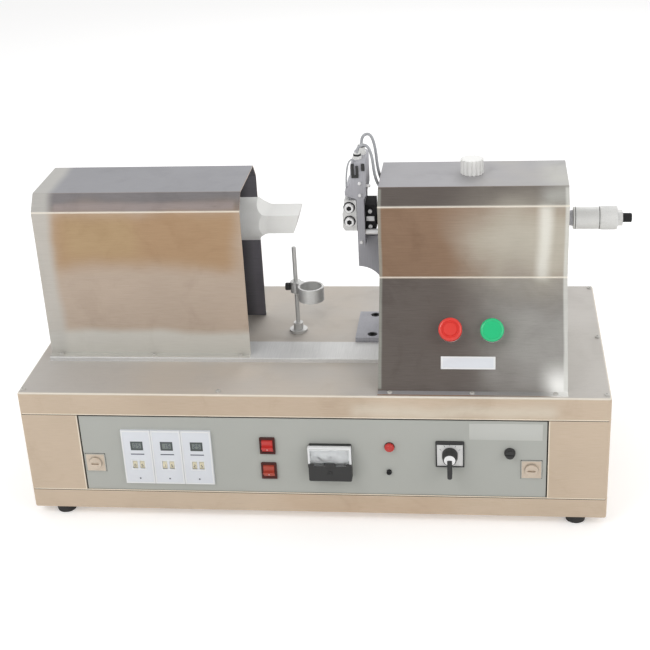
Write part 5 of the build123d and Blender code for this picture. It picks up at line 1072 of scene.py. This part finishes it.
@dataclass
class AnvilHead:
    """Buttons, label and knurl of the right head, and the small parts on the carriage."""

    bottom: tuple[float, float] = (-167.5, 197.0)
    bend: tuple[float, float] = (-85.0, 326.0)

    def slope(self, x: float, up: float) -> Matrix:
        """A frame on the sloped face: its X along the machine, its Z out of the face."""
        run = Vector((0, self.bend[0] - self.bottom[0], self.bend[1] - self.bottom[1])).normalized()
        out = Vector((1, 0, 0)).cross(run)
        start = place(x, self.bottom[0], self.bottom[1]) + run * up * MM
        turn = Matrix((Vector((1, 0, 0)), run, out)).transposed().to_4x4()
        return Matrix.Translation(start) @ turn

    def caps(self) -> None:
        """The two mushroom caps with their rims and rings."""
        for name, x, body, finish, tall in (("red_cap", 190.6, "stop_button", RED_PLASTIC, 12.0),
                                            ("green_cap", 245.3, "start_button", GREEN_PLASTIC, 7.5)):
            move = self.slope(x, 82.0)
            low = 9.5
            top = low + tall
            rings = [(low, 9.2), (low, 15.0), (low + 0.6, 15.65), (top - 3.0, 15.65), (top - 1.4, 15.2),
                     (top - 0.5, 14.2), (top - 0.1, 12.6)]
            if tall > 10:
                rings += [(top - 0.1, 11.4), (top - 1.6, 10.8), (top - 1.6, 9.2), (top - 0.2, 8.4), (top, 7.0)]
            else:
                rings += [(top - 0.8, 11.8), (top - 0.8, 4.0)]
            cap = Bench.turned(name, rings, move.translation, move.to_3x3() @ Vector((0, 0, 1)), 64)
            stem = Bench.turned("stem", [(-7.9, 8.95), (low + 0.2, 8.95)], move.translation,
                                move.to_3x3() @ Vector((0, 0, 1)), 48)
            cap = Bench.join([cap, stem], name)
            Bench.dress(cap, finish, body, "red_plastic" if tall > 10 else "green_plastic")
            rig.replaces(cap, "red_button" if tall > 10 else "green_button")

    def label(self) -> None:
        """The bare white plate under the buttons."""
        plate = Bench.block("button_label", Vector((-36.0, -8.5, 0.0)) * MM, Vector((36.0, 8.5, 0.7)) * MM, 0.3 * MM)
        plate.data.transform(self.slope(214.0, 39.5))
        Bench.dress(plate, LABEL_FILM, slot="cover_steel")
        inset = Bench.block("label_field", Vector((-33.5, -6.3, 0.6)) * MM, Vector((33.5, 6.3, 0.78)) * MM, 0.05 * MM)
        inset.data.transform(self.slope(214.0, 39.5))
        Bench.dress(inset, TIMER_FILM, slot="cover_steel")

    def knurl(self) -> None:
        """A sleeve of real diamond knurling round the adjuster's grip."""
        start, end, radius = 390.6, 412.4, 15.75
        Bench.clear()
        rows, sides = 24, 96
        bpy.ops.mesh.primitive_grid_add(x_subdivisions=rows, y_subdivisions=sides, size=1)
        piece = bpy.context.object
        for vertex in piece.data.vertices:
            row = round((vertex.co.x + 0.5) * rows)
            turn = round((vertex.co.y + 0.5) * sides)
            lift = 0.35 if (row + turn) % 2 == 0 and 0 < row < rows else 0.0
            angle = 2 * math.pi * turn / sides
            reach = radius + lift
            vertex.co = place(start + (end - start) * row / rows, reach * math.sin(angle),
                              378.0 + reach * math.cos(angle))
        bpy.ops.object.mode_set(mode="EDIT")
        bpy.ops.mesh.select_all(action="SELECT")
        bpy.ops.mesh.remove_doubles(threshold=0.00001)
        bpy.ops.mesh.normals_make_consistent(inside=False)
        bpy.ops.object.mode_set(mode="OBJECT")
        piece.name = "knurled_sleeve"
        Bench.dress(piece, KNURLED, "adjuster", "bright_steel")

    def connectors(self) -> None:
        """Black plugs and bright pins on the carriage, and the collars of its fittings."""
        front = -30.0
        plugs = [Bench.block("plug", place(57.0, front - 2.2, 452.0), place(60.8, front + 0.2, 469.0), 0.6 * MM),
                 Bench.block("plug", place(63.0, front - 2.2, 450.0), place(66.6, front + 0.2, 466.0), 0.6 * MM),
                 Bench.block("plug", place(70.5, front - 2.6, 459.0), place(75.2, front + 0.2, 469.0), 0.6 * MM),
                 Bench.block("plug", place(57.0, front - 1.6, 449.0), place(66.6, front + 0.2, 452.5), 0.4 * MM)]
        for x, y, z in ((68.5, 8.0, 480.6), (64.0, -12.0, 474.6)):
            plugs.append(Bench.turned("collar", [(0, 5.25), (1.9, 5.25), (2.3, 4.6)], place(x, y, z),
                                      Vector((0, 0, 1)), 32))
        Bench.dress(Bench.join(plugs, "lead_plugs"), BLACK_PLASTIC, "anvil_carriage", "lead_grey")
        pins = [Bench.turned("pin", [(0, 2.4), (1.7, 2.4), (2.3, 1.7)], place(x, front, z), Vector((0, -1, 0)), 28)
                for x, z in ((67.5, 424.0), (67.5, 441.0), (67.5, 356.0))]
        pins.append(Bench.turned("latch", [(0, 2.2), (9.0, 2.2), (9.6, 1.6)], place(72.0, -25.0, 436.0),
                                 Vector((1, 0, 0)), 28))
        for z in (375.0, 397.0):
            pins.append(Bench.turned("pin", [(0, 2.8), (2.6, 2.8), (3.0, 2.4), (3.0, 1.5), (1.4, 1.4)],
                                     place(79.5, -18.0, z), Vector((0, -1, 0)), 28))
        pins.append(Bench.block("spring_plate", place(74.0, -19.2, 382.5), place(85.0, -18.0, 389.5), 0.3 * MM))
        Bench.dress(Bench.join(pins, "carriage_pins"), CHROME, "anvil_carriage", "screw_steel")
        jaw = Bench.block("anvil_joint", place(61.9, -28.3, 372.0), place(62.6, 28.3, 416.3), 0.1 * MM)
        Bench.dress(jaw, BLACK_STEEL, "anvil_carriage", "frame_metal")

    def quill(self) -> None:
        """Dark rings on the adjuster's sleeve: painted shade in its turned grooves."""
        rings = []
        # Painted shade: black rings where the turned grooves lie.
        for x in (356.5, 388.6):
            rings.append(Bench.turned("groove", [(0, 15.26), (0.25, 15.3), (0.6, 15.3), (0.85, 15.26)],
                                      place(x, 0, 378.0), Vector((1, 0, 0)), 72))
        Bench.dress(Bench.join(rings, "sleeve_groove_shade"), BLACK_STEEL, "adjuster", "bright_steel")

    def build(self) -> None:
        """Makes all the head's pieces."""
        self.caps()
        self.label()
        self.knurl()
        self.connectors()
        self.quill()


@dataclass
class Leads:
    """The leads that loop from the carriage into the head, and the short one down to the anvil."""

    radius: float = 2.0
    outer: tuple[Point, ...] = ((68.5, 8, 483), (68.5, 8, 498), (86, 8, 498), (91, 8, 429), (112, 8, 421),
                                (112, 8, 404))
    inner: tuple[Point, ...] = ((64, -12, 477), (64, -12, 489), (83, -12, 489), (88, -12, 429), (112, -12, 421),
                                (112, -12, 404))
    short: tuple[Point, ...] = ((62, -24, 469), (60, -27, 476), (52, -29, 470), (49, -29, 440), (50, -25, 424),
                                (52, -22, 414))

    def tube(self, name: str, points: tuple[Point, ...], radius: float) -> bpy.types.Object:
        """A smooth tube along a NURBS route."""
        curve = bpy.data.curves.new(name, "CURVE")
        curve.dimensions = "3D"
        spline = curve.splines.new("NURBS")
        spline.points.add(len(points) - 1)
        for point, (x, y, z) in zip(spline.points, points):
            point.co = (*place(x, y, z), 1.0)
        spline.order_u = 3
        spline.use_endpoint_u = True
        spline.resolution_u = 10
        curve.bevel_depth = radius * MM
        curve.bevel_resolution = 5
        curve.use_fill_caps = True
        piece = bpy.data.objects.new(name, curve)
        bpy.context.scene.collection.objects.link(piece)
        Bench.pick(piece)
        bpy.ops.object.convert(target="MESH")
        bpy.ops.object.shade_smooth()
        return bpy.context.object

    def build(self) -> None:
        """Makes the three leads and lets the long two bend as the carriage travels."""
        for index, points in enumerate((self.outer, self.inner)):
            lead = self.tube(f"signal_lead_{index + 1}", points, self.radius)
            lead.data.materials.append(LEAD_JACKET.build())
            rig.slot(lead, "lead_grey")
            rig.replaces(lead, "signal_leads")
            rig.blend(lead, "machine", "anvil_carriage", start=place(*points[-1]), end=place(*points[0]))
        short = self.tube("anvil_lead", self.short, 1.1)
        Bench.dress(short, LEAD_JACKET, "anvil_carriage", "lead_grey")


@dataclass
class Studio:
    """Camera, lamps, floor and the soft surroundings."""

    eye: Point = (235.1, -1705.6, 1036.7)
    yaw: float = -7.88
    pitch: float = 25.63
    roll: float = -3.21
    focal_pixels: float = 1318.1
    centre_pixels: tuple[float, float] = (320.1, 327.6)
    image: float = 650.0

    def camera(self) -> None:
        """Sets the camera where the photograph was taken from."""
        yaw, pitch, roll = (math.radians(v) for v in (self.yaw, self.pitch, self.roll))
        ahead = Vector((math.sin(yaw) * math.cos(pitch), math.cos(yaw) * math.cos(pitch), -math.sin(pitch)))
        level = Vector((math.cos(yaw), -math.sin(yaw), 0))
        over = level.cross(ahead)
        right = math.cos(roll) * level + math.sin(roll) * over
        up = -math.sin(roll) * level + math.cos(roll) * over
        data = bpy.data.cameras.new("photo_camera")
        data.sensor_fit = "HORIZONTAL"
        data.sensor_width = 36.0
        data.lens = self.focal_pixels * data.sensor_width / self.image
        data.shift_x = (self.image / 2 - self.centre_pixels[0]) / self.image
        data.shift_y = (self.centre_pixels[1] - self.image / 2) / self.image
        camera = bpy.data.objects.new("photo_camera", data)
        turn = Matrix((right, up, -ahead)).transposed().to_4x4()
        camera.matrix_world = Matrix.Translation(place(*self.eye)) @ turn
        bpy.context.scene.collection.objects.link(camera)
        bpy.context.scene.camera = camera

    def lamp(self, name: str, eye: Point, size: float, power: float) -> None:
        """A soft square lamp that looks at the machine."""
        data = bpy.data.lights.new(name, "AREA")
        data.size = size
        data.energy = power
        lamp = bpy.data.objects.new(name, data)
        aim = Vector((0, 0, 0.25)) - Vector(eye)
        lamp.matrix_world = Matrix.Translation(eye) @ aim.to_track_quat("-Z", "Y").to_matrix().to_4x4()
        bpy.context.scene.collection.objects.link(lamp)

    def surroundings(self) -> None:
        """A pale room: bright sides, a dimmer ceiling towards the operator."""
        world = bpy.data.worlds.new("pale_room")
        world.use_nodes = True
        bpy.context.scene.world = world
        w = Wires(world.node_tree)
        way = w.node("ShaderNodeSeparateXYZ", {0: w.node("ShaderNodeTexCoord").outputs["Generated"]})
        over = w.math("MULTIPLY", w.spread(way.outputs[1], 0.2, -0.5), w.spread(way.outputs[2], 0.15, 0.6))
        room = w.blend(over, (0.84, 0.84, 0.84), (0.36, 0.35, 0.34))
        lit = w.node("ShaderNodeBackground", {"Color": room, "Strength": 1.0})
        seen = w.node("ShaderNodeBackground", {"Color": (1, 1, 1, 1), "Strength": 1.0})
        path = w.node("ShaderNodeLightPath")
        both = w.node("ShaderNodeMixShader", {0: path.outputs["Is Camera Ray"], 1: lit.outputs[0],
                                              2: seen.outputs[0]})
        w.node("ShaderNodeOutputWorld", {"Surface": both.outputs[0]})

    def floor(self) -> None:
        """A plain pale floor that keeps the machine's shadow."""
        Bench.clear()
        bpy.ops.mesh.primitive_plane_add(size=30, location=(0, 0, 0))
        ground = bpy.context.object
        ground.name = "pale_floor"
        material = bpy.data.materials.new("pale_floor")
        material.use_nodes = True
        w = Wires(material.node_tree)
        path = w.node("ShaderNodeLightPath")
        seen = w.math("MAXIMUM", path.outputs["Is Camera Ray"], path.outputs["Is Glossy Ray"])
        seen = w.math("MAXIMUM", seen, path.outputs["Is Transmission Ray"])
        glow = w.node("ShaderNodeEmission", {"Color": (1, 1, 1, 1), "Strength": w.math("MULTIPLY", seen, 0.3)})
        cover = w.node("ShaderNodeBsdfDiffuse", {"Color": (0.86, 0.86, 0.86, 1)})
        both = w.node("ShaderNodeAddShader", {0: cover.outputs[0], 1: glow.outputs[0]})
        w.node("ShaderNodeOutputMaterial", {"Surface": both.outputs[0]})
        ground.data.materials.append(material)
        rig.stage(ground)

    def build(self) -> None:
        """Makes the whole studio."""
        self.camera()
        self.surroundings()
        self.floor()
        self.lamp("key_lamp", (-1.6, -1.8, 2.4), 1.6, 30.0)
        self.lamp("fill_lamp", (2.0, -1.4, 1.6), 1.8, 18.0)
        self.lamp("rim_lamp", (0.4, 2.2, 1.8), 1.6, 14.0)
        bpy.context.scene.view_settings.view_transform = "Standard"


def save_sizes() -> None:
    """Writes the CAD box and the dressed machine's box."""
    boxes = {"cad": [list(corner) for corner in CAD_BOX], "visual": [list(corner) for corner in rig.bounds()]}
    with open("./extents.json", "w") as out:
        json.dump(boxes, out)


def main() -> None:
    """Builds the studio and every sub-assembly in order."""
    logging.basicConfig(level=logging.INFO, format="%(name)s: %(message)s")
    for part in (Studio(), Cabinet(), Fasteners(), ControlPanel(), AnvilHead(), Leads()):
        part.build()
        LOG.info("%s built", type(part).__name__)
    save_sizes()


if __name__ == "__main__":
    main()
